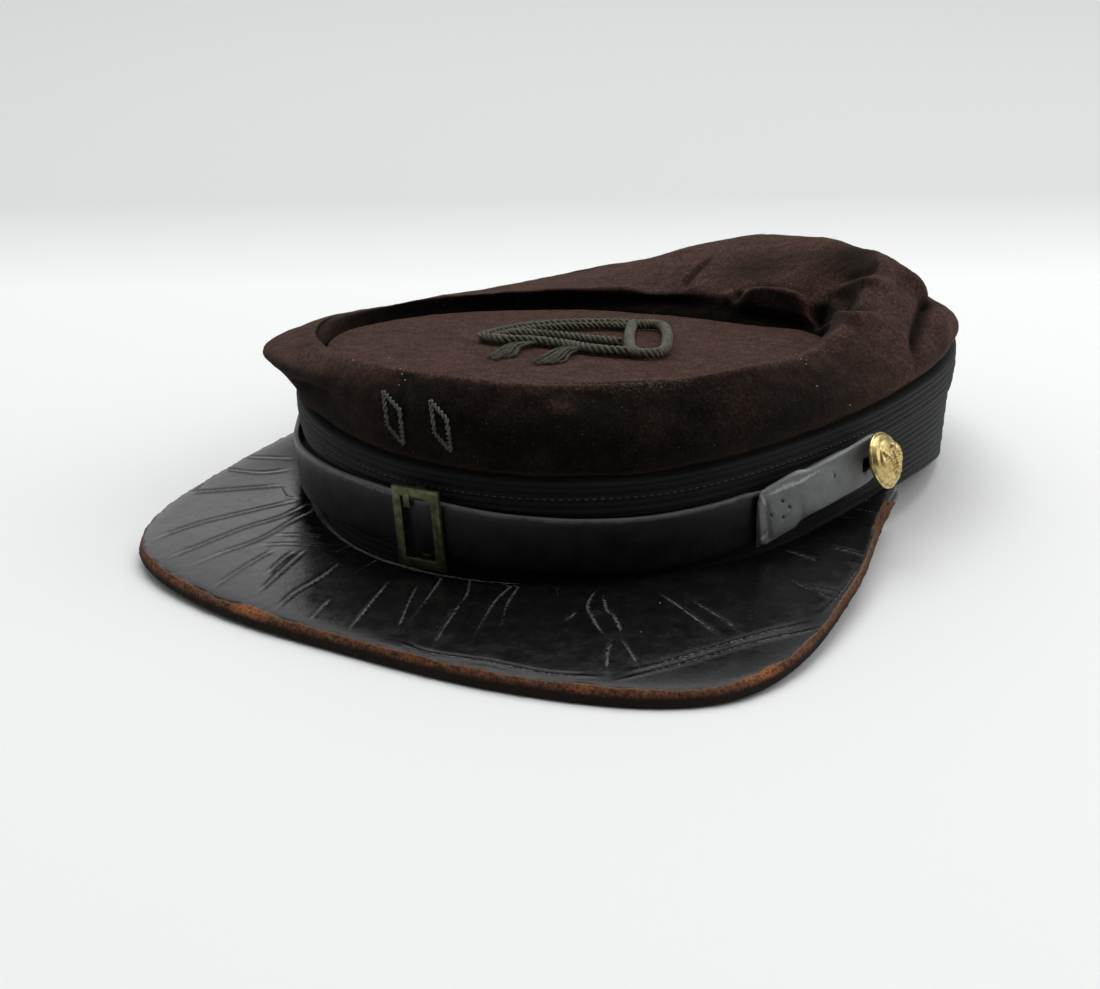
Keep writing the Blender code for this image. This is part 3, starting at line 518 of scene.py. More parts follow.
# %% The crown's folds
Fold = namedtuple("Fold", "name width height fade pixels")
CROWN_FOLDS = (
    Fold("undercut of the far roll", 2.2, -2.6, 0.10,
         ((332, 334), (345, 327), (372, 320), (400, 315), (450, 310), (500, 307), (600, 304), (680, 305),
          (722, 310))),
    Fold("lip of the far roll", 2.4, 0.8, 0.15,
         ((345, 322), (395, 308), (450, 299), (540, 293), (620, 291), (665, 294))),
    Fold("hump's right shoulder", 8.0, 3.2, 0.5, ((894, 272), (907, 283), (918, 299))),
    Fold("flat of the hump", 8.0, -1.7, 0.5, ((812, 245), (845, 249), (884, 258))),
    Fold("bulge before the crease", 3.0, 1.2, 0.4, ((706, 250), (688, 268), (672, 288))),
    Fold("crease over the hump", 1.2, -1.5, 0.35, ((716, 252), (698, 268), (686, 282), (679, 296))),
    Fold("end of the far roll", 2.0, 1.2, 0.4, ((722, 292), (729, 303), (727, 312))),
    Fold("nick before the back roll", 1.2, -1.4, 0.4, ((742, 289), (734, 300), (731, 309))),
    Fold("back roll over the top", 2.6, 2.8, 0.25, ((738, 301), (758, 296), (785, 298), (811, 308))),
    Fold("hollow above the back roll", 1.8, -1.6, 0.3, ((744, 289), (765, 289), (790, 294), (817, 301))),
    Fold("undercut of the back roll", 1.9, -2.6, 0.25, ((730, 313), (760, 318), (790, 324), (820, 330))),
    Fold("deep pocket", 2.4, -3.8, 0.4, ((814, 304), (819, 313), (824, 326))),
    Fold("upper pleat", 2.4, 2.5, 0.35, ((822, 298), (838, 291), (862, 286), (895, 281))),
    Fold("hollow over the upper pleat", 2.2, -1.3, 0.4, ((826, 288), (850, 279), (885, 272))),
    Fold("hollow under the pleat", 2.0, -3.2, 0.4, ((838, 311), (856, 309), (880, 309))),
    Fold("near lobe's shoulder", 2.2, 2.4, 0.35, ((829, 328), (842, 321), (862, 318), (892, 318))),
    Fold("groove between the lobes", 1.6, -2.9, 0.25,
         ((932, 292), (926, 304), (919, 324), (915, 346), (916, 368))),
    Fold("lobe behind the groove", 3.0, 1.6, 0.4, ((940, 308), (943, 326), (938, 348))),
    Fold("front seam", 1.4, -0.7, 0.25, ((404, 370), (403, 390), (404, 408), (409, 425))),
    Fold("dent in the front wall", 4.0, -0.8, 0.4, ((470, 398), (474, 420), (480, 446))),
    Fold("swelling of the front wall", 5.0, 0.7, 0.4, ((560, 400), (562, 425), (566, 452))),
    Fold("dent by the left button", 5.0, -0.8, 0.4, ((690, 398), (694, 420), (700, 440))),
    Fold("fold under the left rim", 2.0, -2.4, 0.35, ((287, 375), (300, 388), (318, 394), (338, 398))),
    Fold("bulge below that fold", 3.0, 1.5, 0.35, ((293, 392), (310, 402), (335, 412))),
)
FRAYED_RIM = ((322, 346), (335, 354), (352, 361), (385, 363), (415, 367), (450, 374), (500, 380), (560, 384),
              (620, 386), (660, 383), (700, 376), (740, 367), (780, 362), (802, 353), (822, 341))
BACKWARD = np.array((-0.3, 0.95, 0.0))
# Painted shade in the grooves and undercuts: the deeper a groove, the darker its colour.
painted_shade = np.zeros(len(crown.data.vertices))
for fold in CROWN_FOLDS:
    way = -BACKWARD if fold.name.startswith("undercut") else None
    touched = press(crown, crown_skin, fold.pixels, fold.width, fold.height, fold.fade, toward=way)
    touched **= 1.0 if way is None else 0.4
    painted_shade = np.maximum(painted_shade, touched * min(max(-fold.height / 2.4, 0.0), 1.0))
ripple(crown, 14, 0.45, seed=2.0)
ripple(crown, 3.5, 0.16, seed=5.0)
# Patches of painted shade on the hump's face and on the front wall.
PAINTED_SHADE_PATCHES = (((757, 267), 11.0, 0.85), ((815, 274), 7.0, 0.5), ((600, 395), 6.0, 0.4))
for pixel, reach, amount in PAINTED_SHADE_PATCHES:
    gap = np.linalg.norm(places(crown) - np.array(seen(crown_skin, pixel)[0]), axis=1) / (reach * MM)
    painted_shade = np.maximum(painted_shade, 0.6 * amount * np.exp(-(gap**2)))
# Painted light on the crown, taken down again by the painted shade in its folds.
paint(crown, "lit_and_faded", lit_and_faded(crown) * (1 - 0.95 * painted_shade))
paint(crown, "painted_shade", painted_shade)
paint(crown, "fray_gap", gap_to_line(places(crown), crown_skin, FRAYED_RIM))
finish_piece(crown, "brown_wool", WOOL, "crown")

# %% [markdown]
# The sunken top is a flat oval of the same wool, a little wavy from lying in store for so long.

# %% The sunken top
top = merged_copy("top_disc", "top_cloth")
subdivide(top, 3)
ripple(top, 16, 0.35, seed=8.0)
ripple(top, 3.5, 0.12, seed=9.0)
# The top is painted lighter where it faces up: painted light, with some sun fading.
paint(top, "lit_and_faded", lit_and_faded(top))
paint(top, "fray_gap", np.full(len(top.data.vertices), FAR))
paint(top, "painted_shade", np.zeros(len(top.data.vertices)))
finish_piece(top, "brown_wool", WOOL, "top_disc")

# %% [markdown]
# ## The braid
# A flat mohair braid goes round the head. It is woven as fine cords side by side, so it reads as
# ribs that run round the cap. Sixteen fine ribs are made here by moving the points in and out, the
# threads that cross a rib are left to a bump, and the grooves between the ribs get painted shade.

# %% A piece's edges, all round the cap
EDGE_STEP = 1.5


def share_down(piece):
    """How far down each point is from a piece's upper edge (0) to its lower edge (1)."""
    points = places(piece)
    turns = compass_of(points)
    bins = np.round(turns / EDGE_STEP).astype(int)
    found = np.unique(bins)
    upper = np.array([points[bins == b, 2].max() for b in found])
    lower = np.array([points[bins == b, 2].min() for b in found])
    top_edge = np.interp(turns, found * EDGE_STEP, upper)
    foot = np.interp(turns, found * EDGE_STEP, lower)
    return (top_edge - points[:, 2]) / np.maximum(top_edge - foot, MM)


# %% The braid's fine ribs
FINE_RIBS = 16
RIB_HEIGHT = 0.55
band = merged_copy("braid_band", "ribbed_braid")
subdivide(band, 3)
down = share_down(band)
points, facing = places(band), directions(band)
away = away_from_middle(points)
outer = smoothstep(np.sum(facing * away, axis=1), 0.1, 0.6)
rib = np.abs(np.sin(np.pi * FINE_RIBS * down))
move_to(band, points + away * (outer * (rib**0.6 - 0.7) * RIB_HEIGHT * MM)[:, None])
paint(band, "rib", rib)
paint(band, "down", down)
paint(band, "around", np.radians(compass_of(points)) * 90)
ripple(band, 22, 0.25, seed=3.0)


# %% The braid's finish
def braid_finish():
    braid = Recipe("mohair_braid")
    fade = braid.noise(18, detail=3)
    color = braid.ramp(fade, (0.3, (0.0022, 0.0025, 0.0024)), (0.7, (0.0062, 0.0070, 0.0066)))
    # Painted shade in the grooves between the ribs: their colour is darkened there.
    ridge = braid.ramp(braid.attribute("rib"), (0.35, 0.15), (0.95, 1.0))
    color = braid.mix(1.0, color, ridge, "MULTIPLY")
    slant = braid.math("MULTIPLY_ADD", braid.attribute("down"), 60.0, braid.attribute("around"))
    twist = braid.math("SINE", braid.math("MULTIPLY", slant, 2 * math.pi / 0.9))
    thread = braid.math("MULTIPLY_ADD", twist, 0.25, braid.noise(0.4, detail=3))
    braid.set(
        Base_Color=color,
        Roughness=0.7,
        Specular_IOR_Level=0.24,
        Sheen_Weight=0.10,
        Sheen_Roughness=0.4,
        Sheen_Tint=(0.5, 0.55, 0.52),
        Normal=braid.bump(thread, 0.14, 0.8),
    )
    return braid.material


finish_piece(band, "black_braid", braid_finish(), "braid_band")

# %% [markdown]
# ## The peak
# The peak is thick leather under black lacquer. Age has cracked the lacquer: long creases fan out
# from the seam, each a raised line with a painted highlight and a groove beside it in painted shade,
# and flakes have lifted near the front. Its edge is bare, red-brown and worn furry. The creases are
# drawn one by one, as read off the photograph, and the edge is found from where the top face turns down.

# %% Refine the peak
BAND_HALF_LENGTH = 100 * MM
LEFT_HALF_WIDTH, RIGHT_HALF_WIDTH = 80, 78.3
peak = merged_copy("peak", "peak_leather")
subdivide(peak, 3)
facing = table_of(peak.data.polygons, "normal")
centres = table_of(peak.data.polygons, "center") - np.array(middle)
in_sight = np.hypot(centres[:, 0] / (LEFT_HALF_WIDTH * MM), centres[:, 1] / BAND_HALF_LENGTH) > 0.99
refine_where(peak, (facing[:, 2] > 0.6) & in_sight)
print("peak points:", len(peak.data.vertices))

# %% Where the top face turns down to the edge
BEYOND_BAND = 3.5 * MM
EDGE_TILT, TILT_SPAN = 0.72, 0.14
UNDERSIDE_TILT = -0.3
EDGE_REACH, UNDERSIDE = 12.0, 6.0
points, facing = places(peak), directions(peak)
from_middle = points - np.array(middle)
half_width = np.where(from_middle[:, 0] > 0, LEFT_HALF_WIDTH, RIGHT_HALF_WIDTH) * MM
oval = np.hypot(from_middle[:, 0] / half_width, from_middle[:, 1] / BAND_HALF_LENGTH)
beyond = np.linalg.norm(from_middle[:, :2], axis=1) * (1 - 1 / oval)
corner = np.flatnonzero((np.abs(facing[:, 2] - EDGE_TILT) < TILT_SPAN) & (beyond > BEYOND_BAND))
tree = KDTree(len(corner))
for index in corner:
    tree.insert(points[index], int(index))
tree.balance()
past_edge = np.full(len(points), -EDGE_REACH)
for index, (place, way) in enumerate(zip(points, facing)):
    _, _, gap = tree.find(place)
    if gap < EDGE_REACH * MM:
        past_edge[index] = (gap if way[2] < EDGE_TILT else -gap) / MM
past_edge[(facing[:, 2] < UNDERSIDE_TILT)] = UNDERSIDE
past_edge[(beyond < BEYOND_BAND) & (facing[:, 2] > UNDERSIDE_TILT)] = -EDGE_REACH
print("edge points:", int(np.sum(past_edge > 0)))

# %% The peak's creases
Crease = namedtuple("Crease", "width height pixels")
PEAK_CREASES = (
    Crease(0.9, 0.5, ((296, 460), (270, 459), (243, 458))),
    Crease(1.0, 0.5, ((293, 470), (262, 474), (222, 470))),
    Crease(1.2, 0.7, ((288, 486), (240, 490), (186, 494))),
    Crease(1.0, 0.5, ((283, 488), (287, 497), (300, 501))),
    Crease(1.0, 0.6, ((302, 500), (250, 512), (200, 524), (150, 541))),
    Crease(1.0, 0.6, ((311, 504), (280, 518), (241, 530), (196, 548), (163, 561))),
    Crease(1.0, 0.6, ((317, 510), (292, 522), (260, 540), (222, 554), (190, 567))),
    Crease(0.7, 0.5, ((274, 536), (300, 536), (328, 538))),
    Crease(0.8, 0.4, ((256, 546), (295, 545), (339, 547))),
    Crease(1.0, 0.5, ((277, 549), (246, 567), (213, 589))),
    Crease(0.9, 0.7, ((305, 551), (284, 570), (258, 594))),
    Crease(0.7, 0.6, ((294, 552), (280, 563), (268, 575))),
    Crease(0.9, 0.6, ((371, 539), (340, 551), (311, 562))),
    Crease(0.9, 0.8, ((343, 562), (318, 580), (293, 595), (276, 611))),
    Crease(0.8, 0.6, ((401, 546), (374, 562), (354, 575), (351, 588))),
    Crease(0.7, 0.4, ((319, 533), (335, 521), (366, 534), (395, 543))),
    Crease(0.8, 0.5, ((332, 600), (322, 608), (311, 621))),
    Crease(0.9, 0.7, ((393, 578), (375, 598), (357, 620), (348, 634))),
    Crease(0.7, 0.4, ((403, 562), (399, 572), (396, 580))),
    Crease(0.8, 0.6, ((420, 581), (408, 604), (396, 634))),
    Crease(0.9, 0.8, ((446, 573), (432, 592), (417, 613), (400, 636))),
    Crease(0.9, 0.7, ((471, 578), (465, 598), (446, 617), (421, 647))),
    Crease(0.8, 0.6, ((464, 600), (448, 622), (430, 651))),
    Crease(0.8, 0.5, ((471, 577), (490, 578), (509, 580))),
    Crease(0.9, 0.8, ((525, 577), (498, 598), (482, 623), (467, 656))),
    Crease(0.8, 0.7, ((525, 579), (507, 604), (501, 627), (484, 654))),
    Crease(0.8, 0.5, ((553, 581), (541, 595), (542, 610))),
    Crease(0.7, 0.4, ((557, 586), (558, 598))),
    Crease(0.8, 0.8, ((599, 586), (588, 604), (592, 617), (603, 634), (616, 639))),
    Crease(0.8, 0.8, ((602, 592), (607, 611), (613, 615), (621, 632), (616, 639))),
    Crease(1.0, 0.7, ((578, 611), (572, 616), (565, 621))),
    Crease(0.7, 0.6, ((588, 612), (596, 614), (606, 612))),
    Crease(0.9, 0.8, ((616, 640), (608, 650), (607, 675))),
    Crease(0.8, 0.7, ((620, 639), (630, 652), (640, 668))),
    Crease(0.8, 0.8, ((653, 590), (675, 604), (700, 622), (727, 639))),
    Crease(0.8, 0.6, ((688, 599), (714, 614), (743, 633))),
    Crease(0.9, 0.6, ((398, 641), (428, 653), (465, 659), (492, 663), (519, 669), (553, 675), (607, 677))),
    Crease(0.9, 0.8, ((622, 672), (650, 666), (690, 655), (733, 642), (774, 631), (812, 622))),
    Crease(0.8, 0.7, ((612, 682), (655, 671), (692, 661), (743, 646), (795, 634), (826, 627))),
    Crease(0.8, 0.5, ((785, 578), (808, 589), (836, 599))),
    Crease(0.6, 0.4, ((809, 586), (828, 590), (846, 593))),
    Crease(0.7, 0.5, ((781, 549), (802, 556), (824, 564))),
    Crease(0.6, 0.4, ((826, 547), (846, 551), (866, 556))),
    Crease(0.6, 0.4, ((835, 517), (855, 519), (874, 523))),
    Crease(0.6, 0.4, ((852, 509), (865, 511), (878, 514))),
    Crease(0.6, 0.4, ((862, 501), (871, 502), (881, 505))),
    Crease(1.4, 0.4, ((864, 559), (853, 576), (843, 590), (834, 601), (817, 617))),
)
# Where the groove with painted shade lies beside each crease, in pixels.
DARK_SIDE = (-0.6, -2.6)
WEAKEST = 0.8
peak_skin = skin_of(peak)
flat_points = places(peak)
ridge_gap = np.full(len(flat_points), FAR)
groove_gap = np.full(len(flat_points), FAR)
for crease in PEAK_CREASES:
    beside = [(x + DARK_SIDE[0], y + DARK_SIDE[1]) for x, y in crease.pixels]
    weaker = 0.5 * (WEAKEST - crease.height)
    ridge_gap = np.minimum(ridge_gap, gap_to_line(flat_points, peak_skin, crease.pixels) + weaker)
    groove_gap = np.minimum(groove_gap, gap_to_line(flat_points, peak_skin, beside) + weaker)
    width, height = crease.width * 0.5, crease.height * 0.26
    press(peak, peak_skin, crease.pixels, width, height, fade=0.15)
    press(peak, peak_skin, beside, width, -height * 0.8, fade=0.2)
print("creases:", len(PEAK_CREASES))

# %% The furry edge
Wear = namedtuple("Wear", "pixel reach amount")
WORN_PLACES = (
    Wear((246, 612), 5.0, 1.5), Wear((262, 616), 3.0, 0.9), Wear((300, 628), 4.0, 0.4),
    Wear((205, 590), 3.0, 0.4), Wear((180, 585), 7.0, 0.5), Wear((150, 571), 6.0, 0.5),
    Wear((345, 641), 7.0, 0.3), Wear((410, 657), 5.0, 0.5), Wear((470, 668), 4.0, 0.4),
    Wear((585, 686), 5.0, 0.6), Wear((640, 690), 6.0, 0.4), Wear((770, 672), 4.0, 1.1),
    Wear((750, 679), 3.0, 0.9), Wear((810, 647), 5.0, 0.4), Wear((850, 596), 6.0, 0.2),
)
LEAST_HEIGHT = 0.05 * MM
wear = np.zeros(len(points))
for worn in WORN_PLACES:
    place, _ = seen(peak_skin, worn.pixel)
    gap = np.linalg.norm(points - np.array(place), axis=1) / (worn.reach * MM)
    wear = np.maximum(wear, worn.amount * np.exp(-(gap**2)))
fur = smoothstep(past_edge + wear, -0.9, 0.3) * (past_edge < 5.5)
points, facing = places(peak), directions(peak)
roughening = 0.22 * waves(points, 0.9, 4.0) + 0.3 * waves(points, 4.0, 7.0)
points += facing * (fur * roughening * MM)[:, None]
points[:, 2] = np.maximum(points[:, 2], LEAST_HEIGHT)
move_to(peak, points)
ripple(peak, 30, 0.12, seed=6.0)
paint(peak, "past_edge", past_edge)
paint(peak, "wear", wear)
paint(peak, "ridge_gap", ridge_gap)
paint(peak, "groove_gap", groove_gap)


# %% The peak's finish
LACQUER_DARK, LACQUER_DUSTY = (0.0032, 0.0034, 0.0035), (0.0085, 0.0088, 0.0085)
BARE_LIP, BARE_BROWN, BARE_ORANGE = (0.22, 0.14, 0.085), (0.060, 0.024, 0.012), (0.30, 0.11, 0.042)
BROWN_DARK, BROWN_PALE = (tuple(v * share for v in BARE_BROWN) for share in (0.5, 3.0))


def peak_finish():
    look = Recipe("cracked_lacquer")
    grime = look.noise(6, detail=6, roughness=0.7)
    fine = look.noise(0.7, detail=4, roughness=0.75)
    frayed = look.math("SUBTRACT", fine, 0.5)
    ridge = look.math("MULTIPLY_ADD", frayed, 2.1, look.attribute("ridge_gap"))
    ridge = look.span(ridge, 0.12, 0.38, 1.0, 0.0)
    groove = look.math("MULTIPLY_ADD", frayed, -0.9, look.attribute("groove_gap"))
    groove = look.span(groove, 0.18, 0.55, 1.0, 0.0)
    lacquer = look.ramp(grime, (0.3, LACQUER_DARK), (0.7, LACQUER_DUSTY))
    specks = look.mix(
        1.0,
        look.ramp(look.cells(2.2), (0.05, 1.0), (0.10, 0.0)),
        look.ramp(look.noise(4, seed=5.0), (0.56, 0.0), (0.62, 0.8)),
        "MULTIPLY",
    )
    lacquer = look.mix(specks, lacquer, (0.10, 0.095, 0.085))
    # Painted shade in each crease's groove, and a painted highlight on its raised line.
    lacquer = look.mix(look.math("MULTIPLY", groove, 0.85), lacquer, (0.0015, 0.0015, 0.0015))
    lacquer = look.mix(look.math("MULTIPLY", ridge, 0.85), lacquer, (0.15, 0.15, 0.14))
    down_edge = look.math("MULTIPLY_ADD", frayed, 1.0, look.attribute("past_edge"))
    bare = look.math("ADD", down_edge, look.attribute("wear"))
    is_bare = look.span(bare, -0.50, -0.20)
    lip = look.span(bare, -0.30, 0.05, 0.7, 0.0)
    tone = look.noise(0.8, detail=6, roughness=0.85, seed=2.0)
    brown = look.mix(look.span(tone, 0.44, 0.60), BROWN_DARK, BROWN_PALE)
    torn = look.math("MULTIPLY", look.span(look.attribute("wear"), 0.3, 1.0), look.span(tone, 0.40, 0.52))
    brown = look.mix(torn, brown, BARE_ORANGE)
    leather = look.mix(look.span(down_edge, 0.20, 1.15), brown, (0.0105, 0.0060, 0.0042))
    leather = look.mix(lip, leather, BARE_LIP)
    raised = look.math("MULTIPLY_ADD", ridge, 0.5, 0.5)
    relief = look.math("SUBTRACT", raised, look.math("MULTIPLY", groove, 0.5))
    soft = look.bump(look.noise(3.0, detail=4), 0.14, 0.6)
    soft = look.bump(look.noise(0.45, detail=4), 0.05, 0.5, under=soft)
    shine = look.span(grime, 0.35, 0.75, 0.17, 0.36)
    look.set(
        Base_Color=look.mix(is_bare, lacquer, leather),
        Roughness=look.mix(is_bare, look.math("MULTIPLY_ADD", ridge, 0.35, shine), (0.92, 0.92, 0.92)),
        Specular_IOR_Level=0.24,
        Normal=look.bump(relief, 0.20, 1.0, under=soft),
    )
    return look.material


finish_piece(peak, "black_lacquer", peak_finish(), "peak")

# %% [markdown]
# ## The chin strap
# The strap is lacquered leather. Its long part is glossy and black, with the lacquer rubbed grey
# along the upper edge, where a painted highlight lies as well. The short outer part has weathered to a
# dull grey, with small pits, and its front end is folded into a keeper. Pale lines on both parts are
# scuff marks with a painted highlight.

# %% The strap's long part
def nearest_scuff_and_highlight(strap, skin, scuff_and_highlight_lines):
    """The gap from each point to the nearest of two pale lines, worn lacquer with a painted highlight."""
    return np.minimum(*(gap_to_line(places(strap), skin, pixels) for pixels in scuff_and_highlight_lines))


long_strap = merged_copy("strap_long", "long_strap_leather")
subdivide(long_strap, 2)
long_skin = skin_of(long_strap)
# Pale lines on the long strap: worn lacquer with a painted highlight.
LONG_SCUFFS_AND_HIGHLIGHTS = (((298, 431), (303, 442), (308, 455)), ((310, 461), (342, 475), (376, 488), (412, 500)))
HIDDEN_FROM, HIDDEN_TO, HIDDEN_NARROWING = -47, -41, 3.2
down, turns = share_down(long_strap), compass_of(places(long_strap))
hidden = smoothstep(turns, HIDDEN_FROM, HIDDEN_TO) * (turns < 20)
points = places(long_strap)
points[:, 2] += hidden * (down - 0.5) * HIDDEN_NARROWING * MM
move_to(long_strap, points)
paint(long_strap, "down", down)
paint(long_strap, "scuff_and_highlight_gap", nearest_scuff_and_highlight(long_strap, long_skin, LONG_SCUFFS_AND_HIGHLIGHTS))
ripple(long_strap, 12, 0.12, seed=1.0)


def strap_finish(name, dark, light, worn, worn_and_lit_from, gloss):
    strap = Recipe(name)
    cloud = strap.noise(5, detail=5, roughness=0.65)
    fine = strap.noise(0.5, detail=4, roughness=0.7)
    color = strap.ramp(cloud, (0.3, dark), (0.7, light))
    # The pale upper edge and pale lines are worn lacquer with a painted highlight on them.
    ragged = strap.math("MULTIPLY_ADD", cloud, 0.12, strap.attribute("down"))
    rubbed = strap.span(ragged, worn_and_lit_from, worn_and_lit_from + 0.07, 0.9, 0.0)
    scuffed_and_lit = strap.math("MULTIPLY_ADD", strap.math("SUBTRACT", fine, 0.5), 2.6, strap.attribute("scuff_and_highlight_gap"))
    rubbed = strap.math("MAXIMUM", rubbed, strap.span(scuffed_and_lit, 0.2, 0.7, 0.9, 0.0))
    color = strap.mix(rubbed, color, worn)
    rough = strap.span(strap.math("MULTIPLY_ADD", fine, 0.3, cloud), 0.4, 0.9, gloss, gloss + 0.2)
    grain = strap.bump(strap.noise(1.6, detail=3), 0.08, 0.5)
    strap.set(
        Base_Color=color,
        Roughness=strap.math("MULTIPLY_ADD", rubbed, 0.2, rough),
        Specular_IOR_Level=0.36,
        Normal=strap.bump(fine, 0.05, 0.6, under=grain),
    )
    return strap


black = strap_finish(
    "black_strap_lacquer", (0.0030, 0.0032, 0.0034), (0.0085, 0.009, 0.0092), (0.12, 0.125, 0.12), 0.07, 0.28
)
finish_piece(long_strap, "black_lacquer", black.material, "strap_long")

# %% The strap's short outer part
short_strap = merged_copy("strap_short", "short_strap_leather")
subdivide(short_strap, 3)
short_skin = skin_of(short_strap)
KEEPER_PIXEL, KEEPER_REACH = (790, 512), 11 * MM
keeper_spot = np.array(seen(short_skin, KEEPER_PIXEL)[0])
centres = table_of(short_strap.data.polygons, "center")
refine_where(short_strap, np.linalg.norm(centres - keeper_spot, axis=1) < KEEPER_REACH, cuts=2)
print("short strap points:", len(short_strap.data.vertices))
SHORT_FOLDS = (
    Fold("fold of the keeper", 0.8, -0.5, 0.1, ((765, 498), (768, 520), (771, 545))),
    Fold("keeper's front edge", 0.9, 0.4, 0.1, ((759, 499), (760, 520), (761, 545))),
    Fold("hole in the keeper", 0.9, -0.9, 0.5, ((763, 533), (765, 537))),
    Fold("end of the keeper", 0.7, -0.35, 0.2, ((801, 503), (803, 515), (799, 525))),
)
for fold in SHORT_FOLDS:
    press(short_strap, short_skin, fold.pixels, fold.width, fold.height, fold.fade)
PITS = ((782, 501), (789, 507), (783, 517), (771, 515), (833, 471), (835, 476))
pitted = np.zeros(len(short_strap.data.vertices))
for x, y in PITS:
    sunk = press(short_strap, short_skin, ((x, y), (x + 1.5, y + 1)), 0.34, -0.3, fade=-0.01)
    pitted = np.maximum(pitted, sunk)
ripple(short_strap, 7, 0.12, seed=4.0)
paint(short_strap, "down", share_down(short_strap))
paint(short_strap, "pit", pitted)
# Pale lines along the short strap's upper edge and the keeper's fold: worn lacquer with a painted highlight.
SHORT_SCUFFS_AND_HIGHLIGHTS = (
    ((766, 495), (775, 492), (787, 486), (797, 483), (805, 479), (812, 475), (819, 471)),
    ((754, 492), (761, 496), (767, 508), (769, 528)),
)
paint(short_strap, "scuff_and_highlight_gap", nearest_scuff_and_highlight(short_strap, short_skin, SHORT_SCUFFS_AND_HIGHLIGHTS))
grey = strap_finish(
    "grey_strap_lacquer", (0.105, 0.111, 0.108), (0.19, 0.198, 0.19), (0.40, 0.415, 0.40), 0.04, 0.32
)
plain = grey.shader.inputs["Base Color"].links[0].from_socket
in_pit = grey.span(grey.attribute("pit"), 0.3, 0.7)
grey.set(Base_Color=grey.mix(in_pit, plain, (0.004, 0.003, 0.003)))
finish_piece(short_strap, "grey_lacquer", grey.material, "strap_short")

# %% [markdown]
# ## The buckle
# A small rectangular slide of thin brass. Its corners are soft from wear, so the copy is cleaned of
# the flat triangles and its edges are rounded with a bevel.

# %% The metal finish
def metal_finish(name, dark, bright, roughness, stain_size):
    metal = Recipe(name)
    stain = metal.noise(stain_size, detail=5, roughness=0.65)
    hollow = metal.attribute("hollow")
    color = metal.ramp(stain, (0.32, dark), (0.64, bright))
    color = metal.mix(metal.span(hollow, 0.1, 0.7), color, tuple(v * 0.25 for v in dark))
    metal.set(
        Base_Color=color,
        Metallic=1.0,
        Roughness=metal.span(stain, 0.3, 0.7, roughness + 0.2, roughness),
        Normal=metal.bump(metal.noise(0.4, detail=3), 0.03, 0.5),
    )
    return metal.material


BLUR_ROUNDS = 3


def hollowness(piece):
    """How deep each point lies among its neighbours, from 0 to 1."""
    points, facing = places(piece), directions(piece)
    edges = np.zeros(len(piece.data.edges) * 2, dtype=int)
    piece.data.edges.foreach_get("vertices", edges)
    first, second = edges.reshape(-1, 2).T
    count = np.bincount(np.concatenate((first, second)), minlength=len(points))[:, None]

    def blurred(values):
        total = np.zeros_like(values)
        np.add.at(total, first, values[second])
        np.add.at(total, second, values[first])
        return total / np.maximum(count, 1)

    depth = np.sum((blurred(points) - points) * facing, axis=1)[:, None]
    for _ in range(BLUR_ROUNDS):
        depth = blurred(depth)
    depth = depth[:, 0]
    return np.clip(depth / max(np.percentile(depth, 98), 1e-9), 0, 1)


# %% The buckle
BUCKLE_BEVEL = 0.22 * MM
buckle = merged_copy("buckle", "buckle_brass", quads=False)
with edit_mode(buckle):
    bpy.ops.mesh.dissolve_limited(angle_limit=math.radians(3))
bevel = buckle.modifiers.new("worn edges", "BEVEL")
bevel.width = BUCKLE_BEVEL
bevel.segments = 3
bevel.limit_method = "ANGLE"
bevel.angle_limit = math.radians(40)
bpy.ops.object.modifier_apply(modifier=bevel.name)
bpy.ops.object.shade_smooth_by_angle(angle=math.radians(40))
paint(buckle, "hollow", np.zeros(len(buckle.data.vertices)))
OLIVE_BRASS = metal_finish("olive_brass", (0.055, 0.057, 0.032), (0.17, 0.17, 0.098), 0.38, 2.5)
finish_piece(buckle, "olive_brass", OLIVE_BRASS, "buckle")

# %% [markdown]
# ## The side buttons
# Two gilt buttons with a raised bird hold the strap. The relief is softened by wear, the gilding is
# bright on what stands up, and dirt has stayed in the hollows. Each is turned anew as a fine lathe
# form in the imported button's own place, and the bird is raised on its dome.

# %% Where a packed button sits
def button_seat(node):
    """The middle of a button's rim, its radius and its three directions: across, up and outwards."""
    model = merged_copy(node, node + "_model", quads=False)
    points, facing = places(model), table_of(model.data.polygons, "normal")
    areas = np.zeros(len(facing))
    model.data.polygons.foreach_get("area", areas)
    bpy.data.objects.remove(model)
    outward = np.linalg.eigh((facing * areas[:, None]).T @ facing)[1][:, 2]
    outward *= np.sign(outward @ away_from_middle(points).mean(axis=0))
    across = np.cross((0, 0, 1), outward)
    across /= np.linalg.norm(across)
    up = np.cross(outward, across)
    spans = [(points @ way).max() + (points @ way).min() for way in (across, up)]
    flat_middle = across * spans[0] / 2 + up * spans[1] / 2
    away = points - flat_middle
    away -= (away @ outward)[:, None] * outward
    gaps = np.linalg.norm(away, axis=1)
    rim = gaps > 0.97 * gaps.max()
    centre = flat_middle + outward * ((points[rim] @ outward).mean() + 0.25 * MM)
    lowest = (points @ outward).min() - centre @ outward
    return centre, gaps.max(), (across, up, outward), lowest


